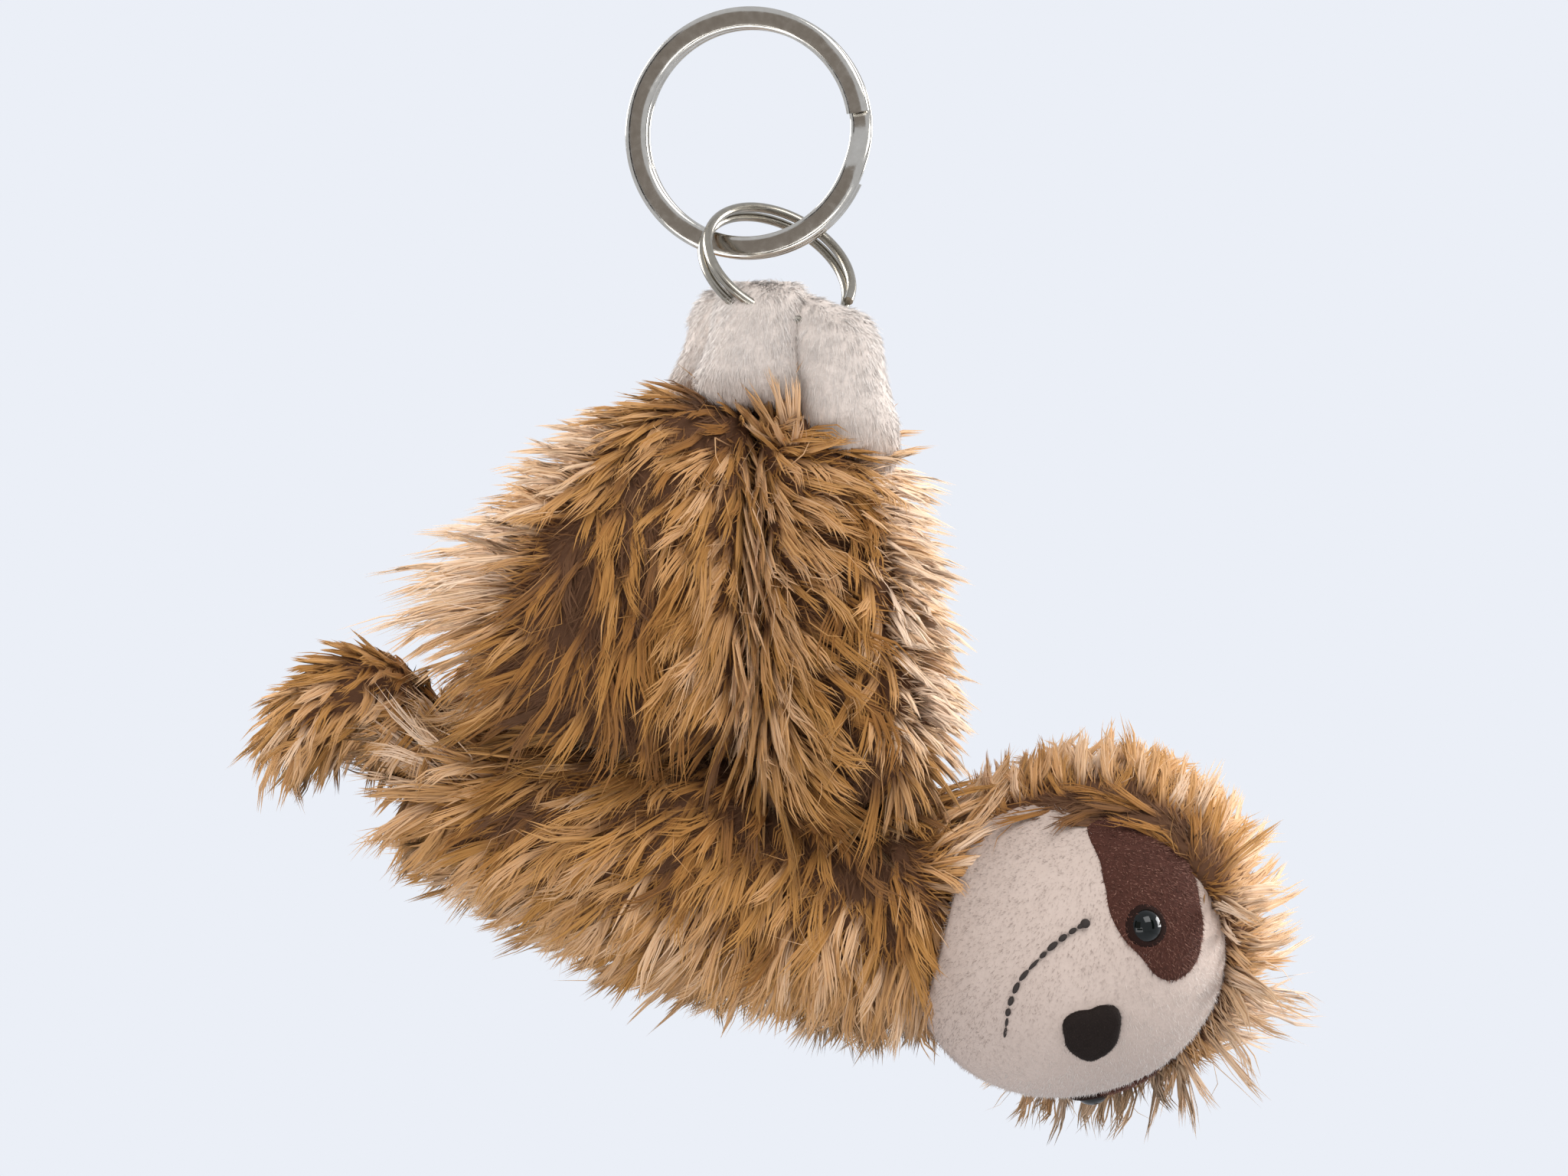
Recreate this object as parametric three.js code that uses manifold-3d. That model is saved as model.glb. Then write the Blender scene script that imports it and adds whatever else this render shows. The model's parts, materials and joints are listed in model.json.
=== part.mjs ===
// A plush sloth that hangs from a key ring by its four paws, its head turned to the side.
// Millimetres, +Z up. The origin is the hook point, at the inside top of the key ring.
// The sloth is seen from the front, so +X is to the viewer's right and +Y points away.

import * as THREE from 'three';
import { mergeVertices } from 'three/addons/utils/BufferGeometryUtils.js';
import Module from 'manifold-3d';

const wasm = await Module();
wasm.setup();

// Key ring: flat wire wound twice round.
const keyRingDiameter = 30;
const keyWireWidth = 2.7;
const keyWireThickness = 1.0;
const keyRingTurn = 14;
const keyRingSplit = -25;

// Small split ring that threads the paws and links them to the key ring.
const smallRingDiameter = 19.6;
const smallWireDiameter = 1.15;
const smallRingTurn = 30.5;
const smallRingLean = 40.5;
const smallRingSplit = 62;
const linkSlack = 2.55;
const linkSide = 1.4;
const linkStep = 1.6;

// Both rings.
const turnGap = 0.45;
const crossoverAngle = 34;
const brokenEdgeShare = 0.24;

// Soft pieces: the pile and its backing make the wall of each cover.
const coverWall = 5.0;
const sewnGap = 0.35;
const fillGap = 0.4;
const fibreGap = 0.9;

// Paws of short pile.
const pawTopDrop = 2.8;
const legPawWidth = 13.8;
const legPawHeight = 15.2;
const legPawDepth = 12.6;
const armPawWidth = 8.9;
const armPawHeight = 19.4;
const armPawDepth = 12.2;
const armPawDrop = 2.4;
const armPawSlant = 2.6;
const farPawShift = 2.4;

// Legs and arms.
const partingPlace = 0.5;
const legWidth = 35.6;
const legDepth = 20;
const legLength = 43.5;
const legDrop = 11.4;
const armWidth = 24.8;
const armDepth = 20;
const armLength = 49;
const armDrop = 14.2;

// Torso: a stuffed sausage that slopes down towards the head.
const bodySlope = 14;
const torsoLength = 70.5;
const torsoHeight = 34;
const torsoDepth = 33;
const neckAcross = 23.9;
const neckDrop = 78;

// Tail.
const tailLength = 21.5;
const tailThickness = 9;
const tailBall = 4;
const tailBend = 165;
const tailRise = 20;
const tailPlaceShare = 0.93;
const tailHeightShare = 0.195;

// Head.
const headTurn = 31.5;
const faceRadius = 17.6;
const muzzleRise = 0.8;
const faceWall = 2.0;
const hoodRadius = 22;
const hoodBack = 4.6;
const hoodUp = 3.7;
const hoodRim = 1.6;
const neckReach = 15.5;
const neckGap = 0.5;
const headForward = 2;
const seamTurn = 93;
const seamPlay = 2;

// Pouch of beads that weighs the rump down.
const pouchStart = 28;

// Eye patches, eyes with their washers, and nose.
const patchLength = 20;
const patchWidth = 13;
const patchThickness = 1.0;
const patchSunkShare = 0.4;
const patchInnerTurn = 33;
const patchOuterTurn = 96;
const patchInnerRise = 40;
const patchOuterRise = 14;
const eyeDiameter = 4.2;
const eyeRimShare = 0.3;
const eyeFlatShare = 0.85;
const eyeShank = 1.4;
const eyeShankLength = 4.2;
const shankTipShare = 0.7;
const eyeAcross = 48.5;
const eyeUp = 20.5;
const washerDiameter = 5.2;
const washerThickness = 0.8;
const noseWidth = 7.8;
const noseHeight = 7.4;
const noseThickness = 1.3;
const noseSunkShare = 0.3;
const noseUp = 9.8;

// Fineness of the round forms.
const ringSteps = 32;
const smallRingSteps = 24;
const formSides = 14;
const ballSides = 24;
const ballRings = 13;
const cupSteps = 8;
const domeSteps = 5;
const turnedSides = 12;
const outlineSteps = 4;
const wireSides = 6;
const overrun = 0.5;
const fillingStart = 2;

const degrees = THREE.MathUtils.degToRad;
const X = new THREE.Vector3(1, 0, 0);
const Y = new THREE.Vector3(0, 1, 0);
const Z = new THREE.Vector3(0, 0, 1);

function along(origin, ...moves) {
  const point = origin.clone();
  for (const [direction, distance] of moves) {
    point.addScaledVector(direction, distance);
  }
  return point;
}

function finish(colour, roughness, metalness) {
  return new THREE.MeshStandardMaterial({ color: colour, roughness, metalness });
}

const finishes = {
  steel: finish('#b9b6b2', 0.22, 1),
  fur: finish('#b08755', 0.95, 0),
  plush: finish('#d9cfc7', 0.95, 0),
  stuffing: finish('#eeece6', 1, 0),
  patch: finish('#5c3733', 0.85, 0),
  felt: finish('#1c1a1b', 0.9, 0),
  bead: finish('#0c0d0d', 0.08, 0),
};

const sloth = new THREE.Group();
const head = new THREE.Group();

function place(group, name, geometry, material) {
  const mesh = new THREE.Mesh(geometry, material);
  mesh.name = name;
  group.add(mesh);
  return mesh;
}

// Rings of points are skinned into one closed body that faces outwards.
function skin(rings) {
  const sides = rings[0].length;
  const positions = rings.flat().flatMap((point) => point.toArray());
  const triangles = [];
  for (let ring = 0; ring < rings.length - 1; ring++) {
    for (let side = 0; side < sides; side++) {
      const here = ring * sides + side;
      const beside = ring * sides + ((side + 1) % sides);
      triangles.push(here, beside, beside + sides, here, beside + sides, here + sides);
    }
  }
  for (const [ring, flip] of [[0, true], [rings.length - 1, false]]) {
    const middle = new THREE.Vector3();
    rings[ring].forEach((point) => middle.addScaledVector(point, 1 / sides));
    positions.push(...middle.toArray());
    const centre = positions.length / 3 - 1;
    for (let side = 0; side < sides; side++) {
      const edge = [ring * sides + side, ring * sides + ((side + 1) % sides)];
      triangles.push(...(flip ? edge.reverse() : edge), centre);
    }
  }
  return facingOut(positions, triangles);
}

function facingOut(positions, triangles) {
  const geometry = new THREE.BufferGeometry();
  geometry.setAttribute('position', new THREE.Float32BufferAttribute(positions, 3));
  const corner = (index) => new THREE.Vector3().fromArray(positions, 3 * triangles[index]);
  let volume = 0;
  for (let index = 0; index < triangles.length; index += 3) {
    volume += corner(index).dot(corner(index + 1).cross(corner(index + 2)));
  }
  geometry.setIndex(volume < 0 ? [...triangles].reverse() : triangles);
  return geometry;
}

// A closed profile turned about Y, facing outwards whichever way the profile runs.
function lathe(profile, sides) {
  const points = profile.map(([across, up]) => new THREE.Vector2(across, up));
  const shell = merge(new THREE.LatheGeometry(points, sides));
  return facingOut([...shell.getAttribute('position').array], [...shell.getIndex().array]);
}

function merge(geometry) {
  const bare = new THREE.BufferGeometry();
  bare.setAttribute('position', geometry.getAttribute('position').clone());
  bare.setIndex(geometry.getIndex() ? geometry.getIndex().clone() : null);
  return mergeVertices(bare);
}

// Solids are joined and cut as closed meshes with shared corners.
function solid(geometry) {
  const merged = merge(geometry);
  return new wasm.Manifold(new wasm.Mesh({
    numProp: 3,
    vertProperties: new Float32Array(merged.getAttribute('position').array),
    triVerts: new Uint32Array(merged.getIndex().array),
  }));
}

function meshOf(manifold) {
  const mesh = manifold.getMesh();
  const geometry = new THREE.BufferGeometry();
  const corners = [];
  for (let vertex = 0; vertex < mesh.numVert; vertex++) {
    corners.push(...mesh.vertProperties.slice(vertex * mesh.numProp, vertex * mesh.numProp + 3));
  }
  geometry.setAttribute('position', new THREE.Float32BufferAttribute(corners, 3));
  geometry.setIndex([...mesh.triVerts]);
  return geometry;
}

function cut(geometry, ...cutters) {
  return meshOf(cutters.reduce((left, cutter) => left.subtract(solid(cutter)), solid(geometry)));
}

function common(first, second) {
  return meshOf(solid(first).intersect(solid(second)));
}

// A split ring: one unbroken wire of two turns that steps from one layer to the next once.
function ringWire(meanRadius, section, layerPitch, split, steps) {
  const turn = 2 * Math.PI;
  const step = turn / steps;
  const crossing = Math.round(degrees(crossoverAngle) / step) * step;
  const rings = [];
  for (let count = 0; count <= 2 * steps - crossing / step - 1; count++) {
    const angle = count * step;
    const climb = THREE.MathUtils.smoothstep(angle, turn - crossing, turn);
    const layer = (climb - 1 / 2) * layerPitch;
    const bearing = angle + degrees(split);
    rings.push(section.map(([across, up]) => new THREE.Vector3(
      (meanRadius + across) * Math.cos(bearing), (meanRadius + across) * Math.sin(bearing), layer + up)));
  }
  return rings;
}

function leastGap(rings, steps) {
  let least = Infinity;
  for (let count = 0; count + steps < rings.length; count++) {
    for (const reach of [steps - 1, steps, steps + 1]) {
      for (const near of rings[count]) {
        for (const far of rings[count + reach] ?? []) {
          least = Math.min(least, near.distanceTo(far));
        }
      }
    }
  }
  return least;
}

// Flat wire with broken edges.
function flatSection(width, thickness) {
  const edge = thickness * brokenEdgeShare;
  const [out, high] = [width / 2, thickness / 2];
  return [[out, high - edge], [out - edge, high], [edge - out, high], [-out, high - edge],
    [-out, edge - high], [edge - out, -high], [out - edge, -high], [out, edge - high]];
}

function roundSection(diameter, sides) {
  return Array.from({ length: sides }, (_, side) => {
    const angle = (2 * Math.PI * side) / sides;
    return [Math.cos(angle) * diameter / 2, Math.sin(angle) * diameter / 2];
  });
}

const keyMean = (keyRingDiameter - keyWireWidth) / 2;
const keyPitch = keyWireThickness + turnGap;
const keyCentre = new THREE.Vector3(0, 0, keyWireWidth - keyRingDiameter / 2);
const keyWires = ringWire(keyMean, flatSection(keyWireWidth, keyWireThickness), keyPitch,
  keyRingSplit, ringSteps);
const keyRing = place(sloth, 'key_ring', skin(keyWires), finishes.steel);
keyRing.rotation.set(Math.PI / 2, 0, -degrees(keyRingTurn), 'ZYX');
keyRing.position.copy(keyCentre);

// The small ring hangs on the lowest stretch of the key ring and leans against its flat side.
const smallMean = (smallRingDiameter - smallWireDiameter) / 2;
const smallPitch = smallWireDiameter + turnGap;
const linkPoint = along(keyCentre, [Z, -keyMean]);
const lean = degrees(smallRingLean);
const smallUp = new THREE.Vector3(0, Math.sin(lean), Math.cos(lean)).applyAxisAngle(Z, degrees(smallRingTurn));
const smallSide = X.clone().applyAxisAngle(Z, degrees(smallRingTurn));
const smallAxis = new THREE.Vector3().crossVectors(smallSide, smallUp);
const linkReach = keyWireWidth / 2 + smallWireDiameter / 2 + linkSlack;
const smallCentre = along(linkPoint, [smallUp, linkReach - smallMean], [smallSide, linkSide], [smallAxis, linkStep]);
const smallWires = ringWire(smallMean, roundSection(smallWireDiameter, wireSides), smallPitch,
  smallRingSplit, smallRingSteps);
const smallRing = place(sloth, 'small_ring', skin(smallWires), finishes.steel);

function poseAsSmallRing(object) {
  object.rotation.set(Math.PI / 2 - lean, 0, degrees(smallRingTurn), 'ZYX');
  object.position.copy(smallCentre);
  object.updateMatrixWorld();
}
poseAsSmallRing(smallRing);

// The channel that the small ring runs through: the whole wound ring with room round it.
function ringChannel() {
  const half = smallPitch / 2 + smallWireDiameter / 2 + sewnGap;
  const rise = smallWireDiameter / 2 + sewnGap;
  const profile = [[-rise, -half], [rise, -half], [rise, half], [-rise, half], [-rise, -half]]
    .map(([across, up]) => [smallMean + across, up]);
  const channel = new THREE.Mesh(lathe(profile, ringSteps).rotateX(Math.PI / 2));
  poseAsSmallRing(channel);
  return channel.geometry.applyMatrix4(channel.matrixWorld);
}

// A stuffed form is a row of oval sections. Each station gives its place on the spine and
// its half sizes across and deep; inset draws the form in, and grow fattens it evenly or thins it.
function oval(centre, across, halfAcross, deep, halfDeep) {
  return Array.from({ length: formSides }, (_, side) => {
    const angle = (2 * Math.PI * side) / formSides;
    return along(centre, [across, halfAcross * Math.cos(angle)], [deep, halfDeep * Math.sin(angle)]);
  });
}

// Limbs hang from the paws and lie against each other at the parting and at the middle plane.
const legShares = [[0, 0.1, 0.18], [0.035, 0.3, 0.42], [0.09, 0.48, 0.62], [0.24, 0.66, 0.82],
  [0.42, 0.83, 0.94], [0.6, 0.95, 1], [0.76, 1, 1], [0.88, 0.93, 0.96], [0.96, 0.74, 0.76], [1, 0.46, 0.48]];
const armShares = [[0, 0.16, 0.2], [0.04, 0.42, 0.45], [0.12, 0.66, 0.64], [0.26, 0.76, 0.82],
  [0.42, 0.89, 0.94], [0.62, 0.93, 1], [0.8, 1, 1], [0.9, 0.94, 0.95], [0.97, 0.7, 0.72], [1, 0.42, 0.46]];

const barLow = keyCentre.z - keyRingDiameter / 2;
const pawTop = barLow - pawTopDrop;

function limb(kind, farSide, inset = 0, grow = 0) {
  const isLeg = kind === 'leg';
  const shares = isLeg ? legShares : armShares;
  const [width, depth, length] = isLeg ? [legWidth, legDepth, legLength] : [armWidth, armDepth, armLength];
  const top = pawTop - (isLeg ? legDrop : armDrop);
  const side = isLeg ? -1 : 1;
  const back = farSide ? 1 : -1;
  const upper = top - inset + Math.max(grow, 0);
  const lower = top - length - Math.max(grow, 0) - (inset ? overrun : 0);
  return skin(shares.slice(grow < 0 ? fillingStart : 0).map(([down, wide, deep]) => {
    const centre = new THREE.Vector3(
      partingPlace + side * (wide * width / 2 + sewnGap / 2),
      back * (deep * depth / 2 + sewnGap / 2),
      THREE.MathUtils.lerp(upper, lower, down));
    return oval(centre, X, wide * (width / 2 - inset) + grow, Y, deep * (depth / 2 - inset) + grow);
  }));
}

// Paws are rounded mitts; the leg's is broad and short, the arm's narrow, long and slanted.
const pawShares = [[0, 0.2], [0.035, 0.5], [0.1, 0.74], [0.24, 0.94], [0.48, 1], [0.72, 0.97],
  [0.88, 0.78], [0.965, 0.5], [1, 0.2]];

function paw(kind, farSide, grow = 0) {
  const isLeg = kind === 'leg';
  const [width, height, depth] = isLeg ? [legPawWidth, legPawHeight, legPawDepth]
    : [armPawWidth, armPawHeight, armPawDepth];
  const top = pawTop - (isLeg ? 0 : armPawDrop) + grow;
  const slant = isLeg ? 0 : armPawSlant;
  const shift = farSide ? -farPawShift : 0;
  const side = isLeg ? -1 : 1;
  const seam = partingPlace + legPawWidth / 2;
  const back = farSide ? 1 : -1;
  return skin(pawShares.map(([down, size]) => {
    const centre = new THREE.Vector3(
      seam + shift + side * (width / 2 + sewnGap / 2) + slant * (down - 1 / 2),
      back * (depth / 2 + sewnGap / 2),
      top - down * (height + 2 * grow));
    return oval(centre, X, size * width / 2 + grow, Y, size * depth / 2 + grow);
  }));
}

// The torso runs back from the neck towards the rump.
const crown = X.clone().applyAxisAngle(Y, degrees(bodySlope));
const belly = Z.clone().applyAxisAngle(Y, degrees(bodySlope));
const neckCentre = new THREE.Vector3(neckAcross, 0, barLow - neckDrop);
const torsoShares = [[0, 0.62], [0.03, 0.78], [0.09, 0.91], [0.2, 0.93], [0.33, 0.92], [0.46, 1],
  [0.6, 0.94], [0.73, 0.78], [0.85, 0.63], [0.93, 0.46], [0.98, 0.26], [1, 0.1]];

function torso(inset = 0, grow = 0) {
  const length = torsoLength - inset + grow;
  return skin(torsoShares.map(([share, size], station) => {
    const reach = station === 0 ? -(inset ? overrun : grow) : share * length;
    return oval(along(neckCentre, [crown, -reach]), belly, size * (torsoHeight / 2 - inset) + grow,
      Y, size * (torsoDepth / 2 - inset) + grow);
  }));
}

// The tail springs from a ball seat in the rump and curls over backwards.
const tailRoot = along(neckCentre, [crown, -torsoLength * tailPlaceShare], [belly, torsoHeight * tailHeightShare]);
const tailShares = [[0.12, 0.62], [0.26, 0.86], [0.42, 1], [0.6, 1], [0.76, 0.92], [0.9, 0.72],
  [0.975, 0.42], [1, 0.14]];

function tail() {
  const bend = degrees(tailBend);
  const radius = tailLength / bend;
  const start = degrees(tailRise);
  return skin(tailShares.map(([share, size]) => {
    const heading = start + bend * share;
    const centre = along(tailRoot, [X, radius * (Math.cos(heading) - Math.cos(start))],
      [Z, radius * (Math.sin(heading) - Math.sin(start))]);
    const outward = new THREE.Vector3(Math.cos(heading), 0, Math.sin(heading));
    const half = size * tailThickness / 2;
    return oval(centre, outward, half, Y, half);
  }));
}

function ball(radius, centre = new THREE.Vector3(), sides = ballSides, rings = ballRings) {
  return new THREE.SphereGeometry(radius, sides, rings).translate(...centre.toArray());
}

// Covers are hollow and open where they are sewn to their neighbour, and filled with fibre.
const tailSeat = ball(tailBall + sewnGap, tailRoot, formSides, formSides / 2);
const torsoFilling = cut(torso(coverWall, -fibreGap), tailSeat);
place(sloth, 'torso_cover', cut(torso(), torso(coverWall), tailSeat), finishes.fur);
place(sloth, 'torso_stuffing', cut(torsoFilling, acrossTorso(0, 1), acrossTorso(pouchStart, -1)),
  finishes.stuffing);
place(sloth, 'bead_pouch', cut(torsoFilling, acrossTorso(pouchStart + fillGap, 1)), finishes.stuffing);

// All that lies on one side of a plane across the torso, at a distance from the neck.
function acrossTorso(distance, side) {
  const size = 2 * torsoLength;
  const block = new THREE.BoxGeometry(size, size, size).translate(side * size / 2 - distance, 0, 0);
  return block.rotateY(degrees(bodySlope)).translate(...neckCentre.toArray());
}

const channel = ringChannel();
for (const [side, farSide] of [['near', false], ['far', true]]) {
  const legPaw = paw('leg', farSide);
  const armPaw = paw('arm', farSide);
  place(sloth, `${side}_leg_paw`, cut(legPaw, channel), finishes.plush);
  place(sloth, `${side}_arm_paw`, cut(armPaw, channel, paw('leg', farSide, sewnGap)), finishes.plush);
  for (const kind of ['leg', 'arm']) {
    const neighbours = [torso(0, sewnGap), paw('leg', farSide, sewnGap), paw('arm', farSide, sewnGap)];
    const cover = cut(limb(kind, farSide), limb(kind, farSide, coverWall), ...neighbours);
    place(sloth, `${side}_${kind}_cover`, cover, finishes.fur);
    const filling = cut(limb(kind, farSide, coverWall, -fibreGap), ...neighbours);
    place(sloth, `${side}_${kind}_stuffing`, filling, finishes.stuffing);
  }
}

const tailCover = solid(tail()).add(solid(ball(tailBall, tailRoot, formSides, formSides / 2)));
place(sloth, 'tail', meshOf(tailCover), finishes.fur);

// The head stands on the neck axis and is turned about it. In its own frame the crown is +Z
// and the face looks along -Y; the origin is the middle of the face.
const headCentre = along(neckCentre, [crown, neckReach + neckGap], [Y, -headForward]);
head.position.copy(headCentre);
head.rotation.set(0, Math.PI / 2 + degrees(bodySlope), degrees(headTurn), 'YZX');
sloth.add(head);

const faceInner = faceRadius - faceWall;
const hoodCentre = new THREE.Vector3(0, hoodBack, hoodUp);

// A cup turned about the face's axis, from the middle of the muzzle round to the seam.
function faceCup(outer, inner, seamAngle) {
  const steps = cupSteps;
  const outerArc = Array.from({ length: steps + 1 }, (_, step) => {
    const angle = degrees(seamAngle) * step / steps;
    const swell = outer + muzzleRise * Math.max(0, Math.cos(2 * angle)) ** 2;
    return [swell * Math.sin(angle), swell * Math.cos(angle)];
  });
  const innerArc = Array.from({ length: steps + 1 }, (_, step) => {
    const angle = degrees(seamAngle) * (1 - step / steps);
    return [inner * Math.sin(angle), inner * Math.cos(angle)];
  });
  const profile = [...outerArc, ...innerArc];
  profile[profile.length - 1][0] = 0;
  return lathe(profile, ballSides).rotateX(Math.PI);
}

function halfSpace(normalAxis, start) {
  const size = 6 * hoodRadius;
  const middle = normalAxis.clone().multiplyScalar(size / 2).add(start);
  return new THREE.BoxGeometry(size, size, size).translate(...middle.toArray());
}

const belowNeck = halfSpace(Z.clone().negate(), new THREE.Vector3(0, 0, -neckReach));
const inFront = halfSpace(Y.clone().negate(), new THREE.Vector3(0, -hoodRim, 0));
// A direction on the face, by its turn to the animal's left and its rise towards the crown.
function facing(leftward, upward) {
  const [left, up] = [degrees(leftward), degrees(upward)];
  return new THREE.Vector3(Math.sin(left) * Math.cos(up), -Math.cos(left) * Math.cos(up), Math.sin(up));
}

// A prism through the head along a direction, from an outline whose +Y side is turned to upHint.
function prism(shape, direction, upHint) {
  const out = direction.clone();
  const side = new THREE.Vector3().crossVectors(upHint, out).normalize();
  const up = new THREE.Vector3().crossVectors(out, side);
  const geometry = new THREE.ExtrudeGeometry(shape, { depth: 2 * faceRadius, bevelEnabled: false, curveSegments: outlineSteps });
  return geometry.applyMatrix4(new THREE.Matrix4().makeBasis(side, up, out));
}

// An outline that is alike on both sides of its middle line. The shares are of its half width
// and half height, from the top down the right: two handles and then a point, over and over.
const bendPoints = 3;

function evenOutline(shares, half, reach) {
  const right = shares.map(([across, up]) => [across * half, up * reach]);
  const left = [[0, reach], ...right].reverse().slice(1).map(([across, up]) => [-across, up]);
  const shape = new THREE.Shape();
  shape.moveTo(0, reach);
  for (const bends of [right, left]) {
    for (let start = 0; start < bends.length; start += bendPoints) {
      shape.bezierCurveTo(...bends.slice(start, start + bendPoints).flat());
    }
  }
  return shape;
}

// The patch is an oval with a fuller outer end that runs back under the hood. The nose is a
// rounded triangle with its point towards the chin.
const patchShares = [[0.75, 1], [1, 0.45], [1, 0], [1, -0.7], [0.8, -1], [0, -1]];
const noseShares = [[0.8, 1], [1, 0.85], [1, 0.4], [1, -0.1], [0.5, -1], [0, -1]];

const patchFloor = faceRadius - patchThickness * patchSunkShare;
const patchTop = patchFloor + patchThickness;

function patchPlace(side) {
  const inner = facing(side * patchInnerTurn, patchInnerRise);
  const outer = facing(side * patchOuterTurn, patchOuterRise);
  return { middle: inner.clone().add(outer).normalize(), lie: inner.clone().sub(outer).normalize() };
}

function patch(side, grow = 0) {
  const { middle, lie } = patchPlace(side);
  return common(faceCup(patchTop + grow, patchFloor - grow, patchOuterTurn + patchInnerTurn),
    prism(evenOutline(patchShares, patchWidth / 2 + grow, patchLength / 2 + grow), middle, lie));
}

const noseDirection = facing(0, noseUp);
const noseFloor = faceRadius - noseThickness * noseSunkShare;

function nose(grow = 0) {
  return common(faceCup(noseFloor + noseThickness + grow, noseFloor - grow, seamTurn),
    prism(evenOutline(noseShares, noseWidth / 2 + grow, noseHeight / 2 + grow), noseDirection, Z));
}

// Eye: a domed bead with a shank that goes through the patch and the face into its washer.
function turned(profile, direction, sides = turnedSides) {
  return lathe(profile, sides).applyQuaternion(new THREE.Quaternion().setFromUnitVectors(Y, direction));
}

const eyeSeat = patchTop + fillGap;
const washerTop = Math.sqrt(faceInner ** 2 - (washerDiameter / 2) ** 2) - 2 * fillGap;

function eye(direction) {
  const [radius, shank] = [eyeDiameter / 2, eyeShank / 2];
  const dome = Array.from({ length: domeSteps + 1 }, (_, step) => {
    const angle = (Math.PI / 2) * step / domeSteps;
    const height = THREE.MathUtils.lerp(eyeRimShare, 1, Math.sin(angle));
    return [step < domeSteps ? radius * Math.cos(angle) : 0, eyeSeat + radius * height];
  });
  const foot = eyeSeat - eyeShankLength;
  const tip = shank * shankTipShare;
  return turned([[0, foot], [tip, foot], [shank, foot + shank - tip], [shank, eyeSeat],
    [radius * eyeFlatShare, eyeSeat], ...dome], direction);
}

function washer(direction) {
  const bore = eyeShank / 2 + fillGap;
  const [low, high] = [washerTop - washerThickness, washerTop];
  return turned([[bore, low], [washerDiameter / 2, low], [washerDiameter / 2, high], [bore, high], [bore, low]],
    direction);
}

function drilling(direction, radius, low, high) {
  return turned([[0, low], [radius, low], [radius, high], [0, high]], direction);
}

const eyeSides = { right: -1, left: 1 };
const eyeDirections = Object.values(eyeSides).map((side) => facing(side * eyeAcross, eyeUp));
const patches = Object.values(eyeSides).map((side) => patch(side, fillGap));
const shankHoles = eyeDirections.map((direction) =>
  drilling(direction, eyeShank / 2 + fillGap, washerTop - eyeShankLength, patchTop + overrun));
const washerPockets = eyeDirections.map((direction) =>
  drilling(direction, washerDiameter / 2 + fillGap, washerTop - washerThickness - fillGap, faceRadius));

const facePanel = cut(faceCup(faceRadius, faceInner, seamTurn), belowNeck, ...patches, nose(fillGap),
  ...shankHoles);
place(head, 'face_panel', facePanel, finishes.plush);

// The hood is the back of the head; its rim comes forward over the edge of the face.
const hood = cut(ball(hoodRadius, hoodCentre), ball(faceInner), inFront, belowNeck,
  faceCup(faceRadius + fillGap, faceInner / 2, seamTurn + seamPlay), ...patches);
place(head, 'head_hood', hood, finishes.fur);

const headStuffing = cut(ball(faceInner - fillGap), belowNeck, ...washerPockets, ...shankHoles);
place(head, 'head_stuffing', headStuffing, finishes.stuffing);

for (const [name, side] of Object.entries(eyeSides)) {
  const direction = facing(side * eyeAcross, eyeUp);
  const hole = drilling(direction, eyeShank / 2 + fillGap, faceInner, patchTop + overrun);
  place(head, `${name}_eye_patch`, cut(patch(side), hole), finishes.patch);
  place(head, `${name}_eye`, eye(direction), finishes.bead);
  place(head, `${name}_eye_washer`, washer(direction), finishes.felt);
}
place(head, 'nose', nose(), finishes.felt);

console.log(`least gap of key ring turns ${leastGap(keyWires, ringSteps).toFixed(2)} mm`);
console.log(`least gap of small ring turns ${leastGap(smallWires, smallRingSteps).toFixed(2)} mm`);

export default sloth;
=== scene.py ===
import json
from math import cos, pi, radians, sin

import bpy
import numpy as np
from mathutils import Matrix, Vector
from mathutils.bvhtree import BVHTree


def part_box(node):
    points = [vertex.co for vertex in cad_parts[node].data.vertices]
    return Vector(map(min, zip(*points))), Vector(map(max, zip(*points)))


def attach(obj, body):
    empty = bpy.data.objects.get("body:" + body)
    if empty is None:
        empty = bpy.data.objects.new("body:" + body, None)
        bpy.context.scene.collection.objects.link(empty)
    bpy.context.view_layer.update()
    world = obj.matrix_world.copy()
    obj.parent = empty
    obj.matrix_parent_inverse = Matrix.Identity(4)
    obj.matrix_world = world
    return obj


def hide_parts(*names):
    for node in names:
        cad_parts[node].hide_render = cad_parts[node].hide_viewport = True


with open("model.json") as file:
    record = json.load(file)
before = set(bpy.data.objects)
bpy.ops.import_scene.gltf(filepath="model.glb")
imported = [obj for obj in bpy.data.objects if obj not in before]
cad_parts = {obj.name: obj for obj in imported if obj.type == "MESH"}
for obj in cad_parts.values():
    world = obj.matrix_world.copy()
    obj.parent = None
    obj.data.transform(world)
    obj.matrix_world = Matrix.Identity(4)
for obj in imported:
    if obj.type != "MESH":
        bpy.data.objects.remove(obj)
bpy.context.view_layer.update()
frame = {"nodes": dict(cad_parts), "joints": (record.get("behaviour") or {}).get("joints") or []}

# Camera and background. The toy hangs free in front of a pale blue-white sweep and is seen with
# a long lens, straight at its near side. The floor lies far below it. The board glows a little in
# what the camera and the metal see, as a lit sweep does.
MM = 0.001
IMAGE_WIDTH = 2048
PIXELS_PER_MM = 11.0
VIEW_CENTRE = Vector((4.2, 0, -66.3)) * MM
LENS = 120
SENSOR = 36
FLOOR_DROP = 0.5
FLOOR_SIZE = 1.6
FLOOR_GLOW = 0.42
ROOM_LIGHT = 0.52


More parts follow.
